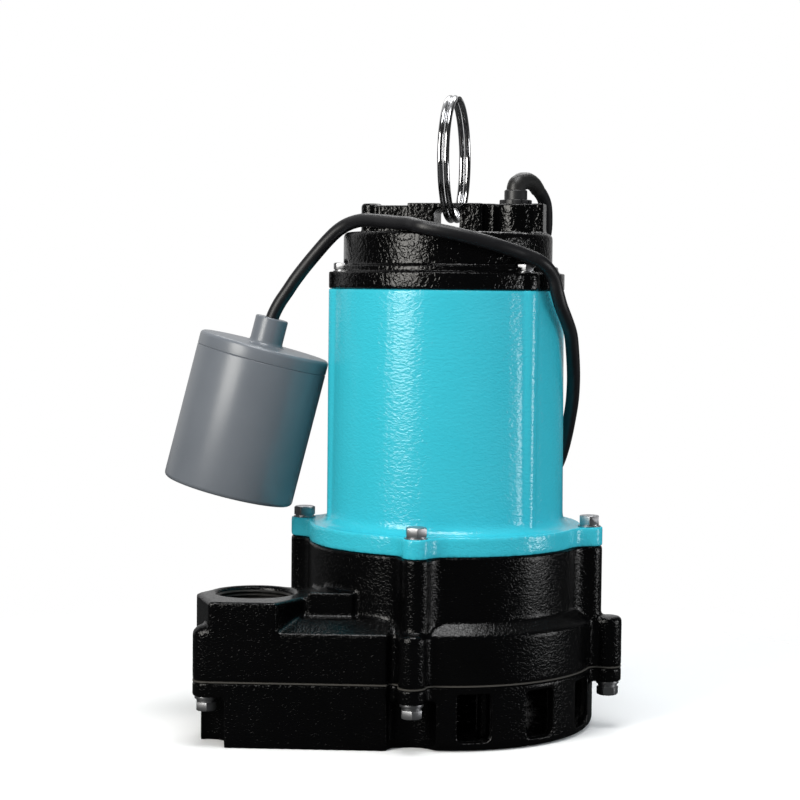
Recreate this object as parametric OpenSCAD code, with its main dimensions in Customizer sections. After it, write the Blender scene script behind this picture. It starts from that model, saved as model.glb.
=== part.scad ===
// Submersible sump pump: cast-iron base with intake slots, volute casing with a side discharge,
// painted motor housing, cast top cap with a split lifting ring, and a float switch on its own cord.
// Millimetres. +Z is up, Z = 0 is the plane that the base stands on, and the motor axis is X = Y = 0.
// The discharge arm points to -X, the flat front of the arm and the front bolt lug to -Y.

/* [Base and volute] */
// Outer radius of the round wall of the base and of the volute
casing_r = 90; // [88:0.2:91]
// Top face of the base casting, where the gasket lies
base_top = 36.9; // [36:0.1:38]
// Thickness of the gasket between base and volute
gasket_t = 0.8; // [0.5:0.1:1]
// Height of the volute's outer top edge
shoulder_z = 65.2; // [64:0.2:67]
// Top of the discharge boss
boss_top = 82.7; // [81:0.1:85]
// Radius of the threaded wall of the discharge (1-1/2 inch pipe)
discharge_r = 22.2; // [21.5:0.1:22.6]
// Width of an intake slot
slot_w = 19.6; // [18:0.2:21]
// Radius of the bolt lugs of the casings
lug_r = 8; // [7:0.5:8]
// Distance of the outer base bolts from the motor axis
base_bolt_r = 99.5; // [99:0.1:100]
// Distance of the front base bolt from the motor axis
front_bolt_r = 95.5; // [95:0.1:96]

/* [Motor housing] */
// Bottom face of the housing flange
flange_z = 109; // [108:0.5:110]
// Thickness of the housing flange
flange_t = 11; // [10:0.5:12]
// Outer radius of the flange between its lugs
flange_r = 81.5; // [81:0.1:82]
// Distance of the flange bolts from the motor axis
flange_bolt_r = 87.2; // [86.8:0.1:87.6]
// Top face of the housing
housing_top = 259.5; // [258:0.5:261]
// Outer radius of the housing at its top
housing_r = 69.6; // [69:0.1:70.4]
// Inner radius of the housing, the seat of the stator
stator_r = 64; // [63:0.1:64.4]

/* [Top cap] */
// Thickness of the cap's flange
cap_flange_t = 10; // [9:0.5:11]
// Radius of the cap above its flange
cap_r = 62.4; // [61.6:0.1:63]
// Top face of the cap's round body
cap_top = 293; // [292:0.1:294]
// Height of the lifting rib above the cap's top
rib_h = 17.7; // [17:0.1:19]
// Distance of the cap screws from the motor axis
cap_screw_r = 64.2; // [64:0.1:64.4]

/* [Lifting ring] */
// Radius of the ring at the middle of its wire
ring_r = 36.2; // [34:0.2:37]
// Diameter of the ring's wire
ring_wire = 3.5; // [3:0.1:3.6]

/* [Float] */
// Radius of the float
float_r = 39.5; // [38:0.1:39.5]
// Length of the float's body, without the cord neck
float_len = 91; // [88:0.5:92]
// Lean of the hanging float
float_tilt = 14.1; // [14:0.1:15]

/* [Cords] */
// Diameter of both cords
cord_d = 8; // [7.6:0.1:8]
// Turns from one reversal of a coil's spiral to the next
coil_leg = 2.12; // [2:0.01:2.2]
// Radius of a coil's innermost turn
coil_in = 34.5; // [34:0.5:36]
// Sideways distance from turn to turn
turn_pitch = 8.6; // [8.55:0.05:8.8]

/* [Hidden] */
$fn = 72;
eps = 0.01;

cast_black = [0.10, 0.10, 0.11];
teal = [0.27, 0.76, 0.86];
steel = [0.72, 0.73, 0.75];
float_grey = [0.46, 0.49, 0.53];
cord_black = [0.16, 0.16, 0.18];
copper = [0.72, 0.42, 0.22];

// Levels of the castings
volute_z = base_top + gasket_t;
neck_z = shoulder_z + 7;
lip_z = 28.4;
guard_top = 5;
rib_top = cap_top + rib_h;
cap_flange_top = housing_top + cap_flange_t;

// Plan of the discharge arm, of its boss, of its skirt and of the hollow under it
discharge_at = [-99.8, -64.8];
corner_bolt = [-117.4, -102.4];
corner_lug_r = 8;
boss_r = 27.5;
arm_plan = [
    [-14.8, -93.8], [-114, -110], [-131.5, -77.4], [-128, -58], [-115, -38], [-60, -24], [-30, -30], [-10, -60],
];
boss_plan = [
    [-77.2, -104], [-114, -110], [-131.5, -77.4], [-126.5, -60], [-99, -42], [-58, -38], [-56.5, -58],
];
skirt_arm_plan = [
    [-14.8, -93.8], [-114, -110], [-124, -92], [-128, -76], [-124, -58], [-112, -41], [-60, -28], [-30, -32],
    [-10, -60],
];
hollow_arm_plan = [
    [-14.8, -87.6], [-108, -102.8], [-121.8, -77], [-118.5, -61], [-108.5, -46.5], [-60, -34.5], [-30, -36],
    [-10, -60],
];
guard_arm_plan = [
    [-15, -87.4], [-107.8, -102.5], [-121.5, -77], [-118.2, -61], [-108.3, -46.8], [-60, -34.8], [-30, -36],
    [-10, -60],
];
duct_plan = [[-64.5, -81], [-39, -75.8], [-32, -45], [-60, -48]];
casing_lugs = [[270, front_bolt_r], [0, base_bolt_r], [90, base_bolt_r], [153, base_bolt_r]];
flange_lugs = [0, 90, 180, 270];
screw_columns = [-35.5, 84.5, 204.5];
slots = [-68, -41, -14, 13, 40, 67, 113, 140, 167];

// Water passage: a spiral that opens clockwise from the tongue and runs on into the arm
chamber_roof = 62;
passage_roof = 59;
tongue_angle = 235;
spiral_from = 62;
spiral_to = 80;
function spiral_r(a) = spiral_from + (spiral_to - spiral_from) * (tongue_angle - a) / (tongue_angle + 90);
spiral = [for (k = [0:26]) let(a = tongue_angle - 12.5 * k) spiral_r(a) * [cos(a), sin(a)]];
passage_arm = [[-16, -85.5], [-103, -99.7], [-121.5, -78], [-120, -60], [-108, -45], [-84, -40]];
passage_plan = concat(spiral, passage_arm);

// Bearings: 12 mm bore, 32 mm outside, 10 mm wide
bearing_bore = 6;
bearing_out = 16;
bearing_w = 10;
ball_r = 2.95;
ball_pitch_r = 11;
ball_count = 7;
lower_bearing_z = flange_z - 10.5;
upper_bearing_z = housing_top - 15;

// Motor
stator_z = 140;
stator_h = 70;
rotor_r = 34.5;
journal_r = 6;

// Cord gland
gland_x = 40.5;
gland_af = 18;
relief_top = 317.8;

// The eye of the lifting rib and the middle of the ring's wire in it
eye_x = 1.2;
eye_w = 15.5;
eye_bottom = 293.8;
eye_top = 307.3;
ring_x = 3.2;
ring_pivot_z = 300.8;

// The float hangs in a frame that is turned about Z and leans by float_tilt
float_turn = 10.5;
float_at = [-118.2, -21.9, 180.8];
float_wall = 3;
lid_z = float_len / 2 - 8.4;
neck_len = 14;
neck_r = 9.9;
ball_rest = -18;
neck_tip_z = float_len / 2 + neck_len;
float_axis = [sin(float_tilt) * cos(float_turn), sin(float_tilt) * sin(float_turn), cos(float_tilt)];
neck_tip = float_at + neck_tip_z * float_axis;

// Routes of the cords
float_pivot = [-55.5, -20.5, 301];
lead_route = [
    neck_tip, neck_tip + cord_d * float_axis, [-98.6, -18.3, 254.4], [-92.8, -17.3, 264.4], [-86.6, -17, 272.4],
    [-80.4, -17.1, 278.6], [-74.3, -17.8, 283.6], [-68.2, -18.6, 289], [-61.9, -19.6, 295.2], float_pivot,
];
float_route = [
    [-51.4, -23.2, 301.4], [-46.6, -26.4, 301.5], [-37.5, -33.2, 300.6], [-28.4, -40.4, 299.8], [-20, -47, 299.2],
    [-12.6, -52.9, 298.6], [-4.8, -58.4, 297.8], [3.6, -63.2, 296.4], [11.8, -66, 294], [20.6, -64.2, 292],
    [30.2, -60, 289.8], [39.8, -54, 287.2], [46.8, -48, 285], [53, -41.8, 282.6], [59, -36, 279.8],
    [64.6, -32.4, 275.2], [67.8, -32.6, 267.5], [69.8, -30.8, 259.5], [71.6, -27, 251.5], [73.9, -18.8, 243],
    [75.6, -9, 234], [76, -2, 223], [75.8, 5.5, 211], [74.8, 13.5, 201], [73.2, 21.5, 191.5], [70.9, 28.8, 181.5],
    [68.5, 35.2, 172], [65.8, 41, 163], [62, 48.4, 153.5], [56, 56.4, 143], [50.4, 66.6, 131.5], [47.6, 75.6, 119],
    [45.6, 80.6, 103], [44.4, 84.4, 86], [44, 88, 69], [44.6, 92, 52], [46.8, 98, 35], [51.4, 107, 18.5],
    [57, 118.4, 8.5], [61.6, 131, 5.2], [64.3, 143, 4.7], [64.73, 152, 4.7], [64.73, 160, 4.7],
];
relief_route = [
    [gland_x, 0, relief_top - 1], [40.8, 1, 321.2], [43, 5, 324], [46.6, 11.4, 324.6], [49, 17, 322.8], [50.4, 22.2, 320.1],
];
power_route = [
    [50.4, 22.2, 320.1], [52.3, 29.2, 316.4], [53.4, 35, 311.5], [53.4, 39.6, 304.8], [52.2, 45.8, 294.5],
    [47.6, 54, 282], [40.2, 63.8, 270.5], [29.4, 70.4, 260], [17.4, 76.2, 248], [5, 78.8, 234], [-7, 78.9, 219],
    [-18, 77.2, 202], [-27.5, 74.6, 184], [-35, 72.2, 166], [-40.5, 71, 148], [-44.4, 74, 132],
    [-47, 79, 118], [-48.4, 81, 102], [-49.6, 83.6, 86], [-51, 87, 68], [-52.4, 90.4, 50], [-54.2, 95.6, 32],
    [-55.8, 102.8, 17.5], [-56.3, 111.6, 8], [-56.3, 120, 5.2], [-56.27, 127, 4.7], [-56.27, 134.4, 4.7],
];

// A coil: turns, layers and the last stretch, which slips down beside the turns
float_coil_at = [12, 168];
power_coil_at = [-109, 142.4];
coil_z = 4.7;
layer_h = 8.5;
layers = 4;
coil_out = coil_in + turn_pitch * coil_leg;
slip_out = 8.8;
plug_axis_z = 13.2;
coil_turns = layers * coil_leg + 0.8;
slip_turn = coil_turns - 0.35;
rings_per_turn = 24;
coil_sides = 6;
tie_angle = 137;

function smooth(s) = s <= 0 ? 0 : s >= 1 ? 1 : (1 - cos(180 * s)) / 2;
function coil_radius(t) = t < layers * coil_leg
    ? coil_in + (coil_out - coil_in) * abs(1 - (t / coil_leg) % 2)
    : coil_out + slip_out * min(1, (t - layers * coil_leg) / 0.35);
function climbs(t) = smooth((t - coil_leg + 0.25) / 0.5) + smooth((t - 2 * coil_leg + 0.25) / 0.5)
    + smooth((t - 3 * coil_leg + 0.25) / 0.5);
function coil_height(t) = coil_z + layer_h * climbs(t)
    - (coil_z + 3 * layer_h - plug_axis_z) * smooth((t - slip_turn) / 0.35);
function coil_point(t) = [coil_radius(t) * cos(360 * t), coil_radius(t) * sin(360 * t), coil_height(t)];
coil_start = [coil_out, -cord_d, coil_z];
coil_end_angle = 360 * coil_turns;
coil_end = coil_point(coil_turns) + 25 * [-sin(coil_end_angle), cos(coil_end_angle), 0];
coil_steps = floor(coil_turns * rings_per_turn);
coil_route = concat([coil_start], [for (k = [0:coil_steps]) coil_point(coil_turns * k / coil_steps)], [coil_end]);

// The least gap of the coil to itself, between points that are more than half a turn apart
coil_gap = min([
    for (i = [1:len(coil_route) - 1]) for (j = [i + rings_per_turn / 2:1:len(coil_route) - 1])
        norm(coil_route[i] - coil_route[j])
]) - cord_d;
echo(coil_gap = coil_gap);

// --- Shared shapes -------------------------------------------------------------------------------

function unit(v) = v / norm(v);
function tangent(p, i) = unit(p[min(i + 1, len(p) - 1)] - p[max(i - 1, 0)]);
function square_to(v, t) = unit(v - (v * t) * t);
// One sideways direction per point, each carried over from the one before so that nothing twists
function sides(p, i, last) = i >= len(p) ? [] : let(n = square_to(last, tangent(p, i))) concat([n], sides(p, i + 1, n));

// A tube swept along points, with one radius or one radius per point
module tube(points, radius, faces) {
    count = len(points);
    first = abs(tangent(points, 0)[2]) > 0.8 ? [1, 0, 0] : [0, 0, 1];
    normals = sides(points, 0, first);
    skin = [
        for (i = [0:count - 1]) let(
            t = tangent(points, i),
            n = normals[i],
            b = cross(t, n),
            r = is_list(radius) ? radius[i] : radius
        ) for (k = [0:faces - 1]) points[i] + r * (cos(360 * k / faces) * n + sin(360 * k / faces) * b)
    ];
    last = (count - 1) * faces;
    start_cap = [for (k = [1:faces - 2]) [0, k, k + 1]];
    end_cap = [for (k = [1:faces - 2]) [last, last + k + 1, last + k]];
    walls = [
        for (i = [0:count - 2]) for (k = [0:faces - 1]) let(
            a = i * faces + k,
            b = i * faces + (k + 1) % faces
        ) each [[a, a + faces, b], [b, a + faces, b + faces]]
    ];
    polyhedron(skin, concat(start_cap, end_cap, walls));
}

// Plan of a bolt lug on a round body, with a concave fillet on both sides
module lug(angle, body_r, bolt_r, r, fillet) {
    to_body = body_r + fillet;
    to_lug = r + fillet;
    a = acos((to_body * to_body + bolt_r * bolt_r - to_lug * to_lug) / (2 * to_body * bolt_r));
    rotate(angle) {
        translate([bolt_r, 0]) circle(r);
        difference() {
            polygon([
                (body_r - 15) * [cos(a), -sin(a)], to_body * [cos(a), -sin(a)], [bolt_r, 0],
                to_body * [cos(a), sin(a)], (body_r - 15) * [cos(a), sin(a)],
            ]);
            for (s = [-1, 1]) translate(to_body * [cos(a), s * sin(a)]) circle(fillet + 0.03);
        }
    }
}

module at_polar(angle, radius) {
    rotate(angle) translate([radius, 0, 0]) children();
}

module ring(outer, inner, height) {
    difference() {
        cylinder(r = outer, h = height);
        translate([0, 0, -1]) cylinder(r = inner, h = height + 2);
    }
}

// A disc with its upper rim rounded
module round_top(r, height, edge) {
    rotate_extrude() difference() {
        square([r, height]);
        translate([r - edge, height - edge]) difference() {
            square(edge + 1);
            circle(edge);
        }
    }
}

// A hexagon head with a washer under it and a shank, seated at Z = 0, with the head up
module hex_bolt(across_flats, head_h, washer_t, shank_r, shank_len) {
    translate([0, 0, -shank_len]) cylinder(r = shank_r, h = shank_len + 1);
    cylinder(r = across_flats * 0.6, h = washer_t);
    translate([0, 0, washer_t]) intersection() {
        cylinder(r = across_flats / sqrt(3), h = head_h, $fn = 6);
        cylinder(r1 = across_flats / 2 + head_h + 0.2, r2 = across_flats / 2 + 0.2, h = head_h);
    }
}

// --- Base and volute -----------------------------------------------------------------------------

module casing_plan() {
    circle(casing_r);
    polygon(arm_plan);
    for (l = casing_lugs) lug(l[0], casing_r, l[1], lug_r, 5);
    translate(corner_bolt) circle(corner_lug_r);
}

module flange_plan() {
    circle(flange_r);
    for (a = flange_lugs) lug(a, flange_r, flange_bolt_r, lug_r, 14);
}

module at_base_bolts() {
    for (l = casing_lugs) at_polar(l[0], l[1]) children();
    translate([corner_bolt[0], corner_bolt[1], 0]) children();
}

module at_plate_screws() {
    for (a = [27, 126.5, 207, 300]) at_polar(a, 72) children();
}

// The wall stands back round the two bolts that a spanner reaches from the front
module wrench_clearance(grow) {
    translate([0, -front_bolt_r]) circle(14.4 + grow);
    translate(corner_bolt) circle(13 + grow);
}

module slot_window() {
    corner = 4;
    z0 = 5;
    z1 = 32.4;
    rotate([90, 0, 90]) linear_extrude(height = casing_r - 75) {
        translate([-slot_w / 2, z0 + corner]) square([slot_w, z1 - z0 - corner]);
        translate([-slot_w / 2 + corner, z0]) square([slot_w - 2 * corner, corner + 1]);
        for (s = [-1, 1]) translate([s * (slot_w / 2 - corner), z0 + corner]) circle(corner);
    }
}

module base_strainer() {
    edge = 5;
    plate_z = 31;
    color(cast_black) difference() {
        union() {
            translate([0, 0, lip_z]) linear_extrude(height = base_top - lip_z) casing_plan();
            difference() {
                union() {
                    translate([0, 0, lip_z + 1]) mirror([0, 0, 1]) round_top(casing_r, lip_z + 1, edge);
                    linear_extrude(height = lip_z + 1) polygon(skirt_arm_plan);
                }
                translate([0, 0, -1]) linear_extrude(height = lip_z + 1) wrench_clearance(0);
            }
        }
        difference() {
            translate([0, 0, -1]) linear_extrude(height = plate_z + 1) difference() {
                union() {
                    circle(casing_r - 6);
                    polygon(hollow_arm_plan);
                }
                wrench_clearance(6);
            }
            translate([0, 0, 22]) cylinder(r1 = 29, r2 = 32, h = 10);
            at_plate_screws() translate([0, 0, guard_top]) cylinder(r = 5, h = 30);
        }
        at_plate_screws() translate([0, 0, guard_top - 1]) cylinder(r = 2, h = 14);
        translate([0, 0, 20]) cylinder(r = 24, h = 20);
        translate([0, 0, 21.9]) cylinder(r1 = 27.5, r2 = 23.5, h = 4);
        for (a = slots) at_polar(a, 77) slot_window();
        at_base_bolts() translate([0, 0, 20]) cylinder(r = 3.3, h = 20);
    }
}

// Plate that closes the strainer from below, a little above the rim that the pump stands on
module bottom_plate() {
    plate_t = 2.4;
    color(cast_black) difference() {
        intersection() {
            union() {
                cylinder(r = casing_r - 6.2, h = 8);
                translate([0, 0, -1]) linear_extrude(height = 10) polygon(guard_arm_plan);
            }
            translate([-150, -150, guard_top - plate_t]) cube([300, 300, plate_t]);
        }
        translate([0, 0, -2]) linear_extrude(height = 12) wrench_clearance(6.2);
        at_plate_screws() translate([0, 0, 0]) cylinder(r = 2.4, h = 10);
        for (a = [0:30:330]) at_polar(a, 34) cylinder(r = 4, h = 10);
        for (a = [0:60:300]) at_polar(a, 17) cylinder(r = 4, h = 10);
    }
}

module plate_screws() {
    color(steel) at_plate_screws() translate([0, 0, guard_top - 2.4]) mirror([0, 0, 1]) {
        round_top(4, 2, 1);
        translate([0, 0, -12]) cylinder(r = 1.9, h = 13);
    }
}

module volute_gasket() {
    color([0.35, 0.33, 0.30]) difference() {
        intersection() {
            union() {
                translate([0, 0, base_top - 1]) cylinder(r = casing_r, h = 4);
                translate([0, 0, base_top - 2]) linear_extrude(height = 6) polygon(arm_plan);
                for (l = casing_lugs) translate([0, 0, base_top - 3]) linear_extrude(height = 8)
                    lug(l[0], casing_r, l[1], lug_r, 5);
                translate([corner_bolt[0], corner_bolt[1], base_top - 4]) cylinder(r = corner_lug_r, h = 10);
            }
            translate([-150, -150, base_top]) cube([300, 300, gasket_t]);
        }
        translate([0, 0, base_top - 1]) linear_extrude(height = gasket_t + 2) polygon(passage_plan);
        at_base_bolts() translate([0, 0, base_top - 1]) cylinder(r = 3.3, h = gasket_t + 2);
    }
}

module volute_body() {
    translate([0, 0, volute_z]) linear_extrude(height = shoulder_z - volute_z) casing_plan();
    translate([0, 0, shoulder_z]) cylinder(r1 = casing_r, r2 = flange_r, h = neck_z - shoulder_z);
    // The arm's top slopes down to its front edge
    intersection() {
        translate([0, 0, shoulder_z]) linear_extrude(height = neck_z - shoulder_z) polygon(arm_plan);
        translate([-14.8, -93.8, shoulder_z]) rotate([0, 0, 9.3]) rotate([24, 0, 0]) translate([-125, 0, -30])
            cube([150, 90, 30]);
    }
    translate([0, 0, volute_z]) linear_extrude(height = boss_top - volute_z) polygon(boss_plan);
    translate([discharge_at[0], discharge_at[1], volute_z]) cylinder(r = boss_r, h = boss_top - volute_z);
    translate([0, 0, shoulder_z - 2]) linear_extrude(height = 22.7) polygon(duct_plan);
    translate([0, 0, shoulder_z - 2]) linear_extrude(height = flange_z - shoulder_z + 2) flange_plan();
    // Rounded tops of the bolt lugs
    for (l = casing_lugs) at_polar(l[0], l[1]) translate([0, 0, 50]) round_top(lug_r, 17.2, 3);
    translate([corner_bolt[0], corner_bolt[1], 50]) round_top(corner_lug_r, 19, 6);
}

module volute_casing() {
    mouth_h = 1.6;
    color(cast_black) difference() {
        union() {
            volute_body();
            // Hub of the seal seat, standing in the neck
            translate([0, 0, 68]) cylinder(r = 20, h = 12);
        }
        translate([0, 0, volute_z - 1]) linear_extrude(height = passage_roof - volute_z + 1) polygon(passage_plan);
        translate([0, 0, volute_z - 1]) linear_extrude(height = chamber_roof - volute_z + 1) polygon(spiral);
        // Neck hollow above the web, stepped for the bearing plate
        translate([0, 0, 70]) ring(72, 20, 31);
        translate([0, 0, 80]) cylinder(r = 30, h = 21);
        translate([0, 0, flange_z - 8.5]) cylinder(r = 75, h = 20);
        // Seat of the seal and the shaft's way through
        translate([0, 0, chamber_roof - 1]) cylinder(r = 13, h = 8);
        translate([0, 0, chamber_roof]) cylinder(r = 8, h = 30);
        // Discharge with its chamfered mouth
        translate([discharge_at[0], discharge_at[1], passage_roof - 3]) cylinder(r = discharge_r, h = 40);
        translate([discharge_at[0], discharge_at[1], boss_top - mouth_h])
            cylinder(r1 = discharge_r, r2 = discharge_r + 3, h = 2 * mouth_h);
        at_base_bolts() translate([0, 0, volute_z - 1]) cylinder(r = 3.2, h = 24);
        for (a = flange_lugs) at_polar(a, flange_bolt_r) translate([0, 0, 90]) cylinder(r = 3.2, h = 20);
    }
}

module base_bolts() {
    color(steel) at_base_bolts() translate([0, 0, lip_z]) mirror([0, 0, 1]) hex_bolt(11.2, 5, 3.4, 3.1, 30);
}

module flange_bolts() {
    color(steel) for (a = flange_lugs) at_polar(a, flange_bolt_r) translate([0, 0, flange_z + flange_t])
        hex_bolt(11.2, 5.2, 1.4, 3.1, 28);
}

// --- Motor housing and cap -----------------------------------------------------------------------

module column_plan(body_r) {
    circle(body_r);
    for (a = screw_columns) lug(a, body_r, cap_screw_r, 8, 5);
}

module motor_housing() {
    fillet = 6;
    foot_r = housing_r + 1.2;
    flange_top = flange_z + flange_t;
    color(teal) difference() {
        union() {
            translate([0, 0, flange_z]) linear_extrude(height = flange_t) flange_plan();
            translate([0, 0, flange_top - 1]) cylinder(r1 = foot_r, r2 = housing_r, h = housing_top - flange_top + 1);
            translate([0, 0, flange_top - 1]) linear_extrude(height = housing_top - flange_top + 1)
                for (a = screw_columns) lug(a, housing_r, cap_screw_r, 8, 5);
            // Fillet from the flange into the wall
            rotate_extrude() translate([foot_r, flange_top]) difference() {
                translate([-3, -1]) square([fillet + 3, fillet + 1]);
                translate([fillet, fillet]) circle(fillet);
            }
        }
        translate([0, 0, flange_z - 1]) cylinder(r = stator_r, h = housing_top - 17 - flange_z + 1);
        translate([0, 0, housing_top - 18]) cylinder(r = 50, h = 30);
        translate([0, 0, housing_top - 6]) cylinder(r = 54, h = 10);
        for (a = screw_columns) at_polar(a, cap_screw_r) translate([0, 0, housing_top - 18]) cylinder(r = 2.6, h = 20);
        for (a = flange_lugs) at_polar(a, flange_bolt_r) translate([0, 0, flange_z - 1]) cylinder(r = 3.3, h = 20);
    }
}

module rib() {
    h = rib_top - cap_top + 2;
    translate([0, 0, cap_top - 2]) {
        translate([-22.5, -13, 0]) cube([45, 26, h]);
        translate([-50, -5.5, 0]) cube([51, 11, h - 2.5]);
        translate([0, -5.5, 0]) cube([54, 11, h]);
        translate([-47, 0, 0]) round_top(6.2, h, 2);
        translate([49.5, -8, 0]) cube([8.5, 16, h]);
        translate([gland_x, 0, 0]) cylinder(r = 12.5, h = 2);
    }
}

module eye_window() {
    corner = 3;
    mid = (eye_bottom + eye_top) / 2;
    high = eye_top - eye_bottom;
    translate([eye_x, 20, mid]) rotate([90, 0, 0]) linear_extrude(height = 40) {
        square([eye_w, high - 2 * corner], center = true);
        square([eye_w - 2 * corner, high], center = true);
        for (x = [-1, 1]) for (y = [-1, 1])
            translate([x * (eye_w / 2 - corner), y * (high / 2 - corner)]) circle(corner);
    }
}

module top_cap() {
    step_h = 4;
    roof_z = 286.5;
    color(cast_black) difference() {
        union() {
            translate([0, 0, housing_top]) linear_extrude(height = cap_flange_t) column_plan(housing_r + 0.2);
            translate([0, 0, housing_top]) cylinder(r = cap_r + 3.6, h = cap_flange_t + step_h);
            translate([0, 0, housing_top]) round_top(cap_r, cap_top - housing_top, 3);
            rib();
        }
        translate([0, 0, housing_top - 1]) cylinder(r = 52, h = roof_z - housing_top + 1);
        translate([0, 0, housing_top - 1]) ring(59.2, 56.8, 3);
        translate([gland_x, 0, roof_z - 1]) cylinder(r = 8, h = 10);
        translate([gland_x, 0, cap_top]) cylinder(r = 12.5, h = 30);
        eye_window();
        for (a = screw_columns) at_polar(a, cap_screw_r) translate([0, 0, housing_top - 1]) cylinder(r = 2.8, h = 14);
        // Seats of the screw heads
        for (a = screw_columns) at_polar(a, cap_screw_r) translate([0, 0, cap_flange_top]) cylinder(r = 6, h = 6);
    }
}

module cap_screws() {
    color(steel) for (a = screw_columns) at_polar(a, cap_screw_r) translate([0, 0, cap_flange_top])
        hex_bolt(9.2, 4, 1.2, 2.5, 26);
}

module cord_gland_nut() {
    nut_h = rib_h;
    color(cast_black) translate([gland_x, 0, 0]) difference() {
        union() {
            translate([0, 0, cap_top]) rotate(30) intersection() {
                cylinder(r = gland_af / sqrt(3), h = nut_h, $fn = 6);
                cylinder(r1 = gland_af / 2 + nut_h + 0.4, r2 = gland_af / 2 + 0.4, h = nut_h);
            }
            translate([0, 0, 286.5]) cylinder(r = 8, h = 8);
        }
        translate([0, 0, 282]) cylinder(r = 6, h = 40);
    }
}

module cord_strain_relief() {
    color(cord_black) {
        translate([gland_x, 0, 0]) rotate_extrude() polygon([
            [0, 288.4], [6, 288.4], [6, rib_top], [6.1, rib_top + 0.5], [6.1, relief_top - 3.5], [5, relief_top],
            [0, relief_top],
        ]);
        tube(relief_route, [5, 5, 4.8, 4.6, 4.4, 4.2], 12);
    }
}

module o_ring(major, minor, z) {
    color([0.08, 0.08, 0.08]) translate([0, 0, z]) rotate_extrude() translate([major, 0]) circle(minor, $fn = 24);
}

module cap_o_ring() {
    o_ring(58, 1, housing_top + 1);
}

module housing_o_ring() {
    o_ring(stator_r - 1.2, 1.2, flange_z + 2.8);
}

// --- Motor ---------------------------------------------------------------------------------------

module lower_bearing_plate() {
    color([0.5, 0.5, 0.52]) difference() {
        union() {
            translate([0, 0, flange_z - 8.5]) cylinder(r = 74.8, h = 8.5);
            translate([0, 0, flange_z]) cylinder(r = stator_r - 0.2, h = 5.5);
            translate([0, 0, flange_z - 20.5]) cylinder(r = 24, h = 20);
        }
        translate([0, 0, flange_z + 1.5]) ring(stator_r + 1, stator_r - 2.4, 2.6);
        translate([0, 0, lower_bearing_z]) cylinder(r = bearing_out, h = 20);
        translate([0, 0, 87]) cylinder(r = 7.5, h = 20);
        for (a = [45:90:315]) at_polar(a, 44) translate([0, 0, 92]) cylinder(r = 7, h = 30);
    }
}

module upper_bearing_plate() {
    color([0.5, 0.5, 0.52]) difference() {
        union() {
            translate([0, 0, housing_top - 6]) cylinder(r = 53.8, h = 6);
            translate([0, 0, upper_bearing_z - 2]) cylinder(r = 22, h = housing_top - upper_bearing_z + 2);
        }
        translate([0, 0, upper_bearing_z - 3]) cylinder(r = bearing_out, h = bearing_w + 4);
        for (a = [0:120:240]) at_polar(a, 38) translate([0, 0, 242]) cylinder(r = 8, h = 30);
    }
}

module race_groove(z) {
    translate([0, 0, z]) rotate_extrude() translate([ball_pitch_r, 0]) circle(ball_r + 0.1, $fn = 32);
}

module bearing_outer_ring(z) {
    color(steel) translate([0, 0, z]) difference() {
        ring(bearing_out, ball_pitch_r + 2, bearing_w);
        race_groove(bearing_w / 2);
    }
}

module bearing_inner_ring(z) {
    color(steel) translate([0, 0, z]) difference() {
        ring(ball_pitch_r - 2, bearing_bore, bearing_w);
        race_groove(bearing_w / 2);
    }
}

module bearing_balls(z) {
    color(steel) for (k = [0:ball_count - 1]) at_polar(360 * k / ball_count, ball_pitch_r)
        translate([0, 0, z + bearing_w / 2]) sphere(ball_r, $fn = 24);
}

module bearing_cage(z) {
    half = 3.8;
    color([0.75, 0.6, 0.3]) translate([0, 0, z + bearing_w / 2]) difference() {
        translate([0, 0, -half]) ring(ball_pitch_r + 1.2, ball_pitch_r - 1.2, 2 * half);
        for (k = [0:ball_count - 1]) at_polar(360 * k / ball_count, 0)
            rotate([0, 90, 0]) cylinder(r = ball_r + 0.05, h = 20);
    }
}

module lower_bearing_outer_ring() {
    bearing_outer_ring(lower_bearing_z);
}

module upper_bearing_outer_ring() {
    bearing_outer_ring(upper_bearing_z);
}

module lower_bearing_inner_ring() {
    bearing_inner_ring(lower_bearing_z);
}

module upper_bearing_inner_ring() {
    bearing_inner_ring(upper_bearing_z);
}

module lower_balls() {
    bearing_balls(lower_bearing_z);
}

module upper_balls() {
    bearing_balls(upper_bearing_z);
}

module lower_cage() {
    bearing_cage(lower_bearing_z);
}

module upper_cage() {
    bearing_cage(upper_bearing_z);
}

module preload_washer() {
    color(steel) translate([0, 0, upper_bearing_z + bearing_w]) ring(15.6, 13.4, 1);
}

module stator_slots(r, extra) {
    for (k = [0:23]) at_polar(15 * k, 47) translate([0, 0, stator_z - extra]) cylinder(r = r, h = stator_h + 2 * extra);
}

module stator_core() {
    color([0.45, 0.46, 0.48]) difference() {
        translate([0, 0, stator_z]) ring(stator_r, 35, stator_h);
        stator_slots(3.8, 1);
        for (k = [0:23]) rotate(15 * k) translate([30, -0.9, stator_z - 1]) cube([15, 1.8, stator_h + 2]);
    }
}

module end_turns(z) {
    translate([0, 0, z]) rotate_extrude() {
        translate([41, 3]) square([14, 16]);
        translate([44, 0]) square([8, 22]);
        for (x = [44, 52]) for (y = [3, 19]) translate([x, y]) circle(3, $fn = 24);
    }
}

module stator_windings() {
    color(copper) {
        end_turns(stator_z + stator_h + 2);
        end_turns(stator_z - 24);
        stator_slots(3.6, 5);
    }
}

module motor_shaft() {
    low = lower_bearing_z;
    high = upper_bearing_z;
    color(steel) rotate_extrude() polygon([
        [0, 34.5], [4.2, 34.5], [4.8, 35.1], [4.8, 39.5], [5.4, 39.5], [5.4, 51.5], [5.9, 51.5], [5.9, low],
        [journal_r, low],
        [journal_r, low + 10], [8, low + 10], [8, high], [journal_r, high], [journal_r, high + 9.5], [5.4, high + 10],
        [0, high + 10],
    ]);
}

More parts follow.
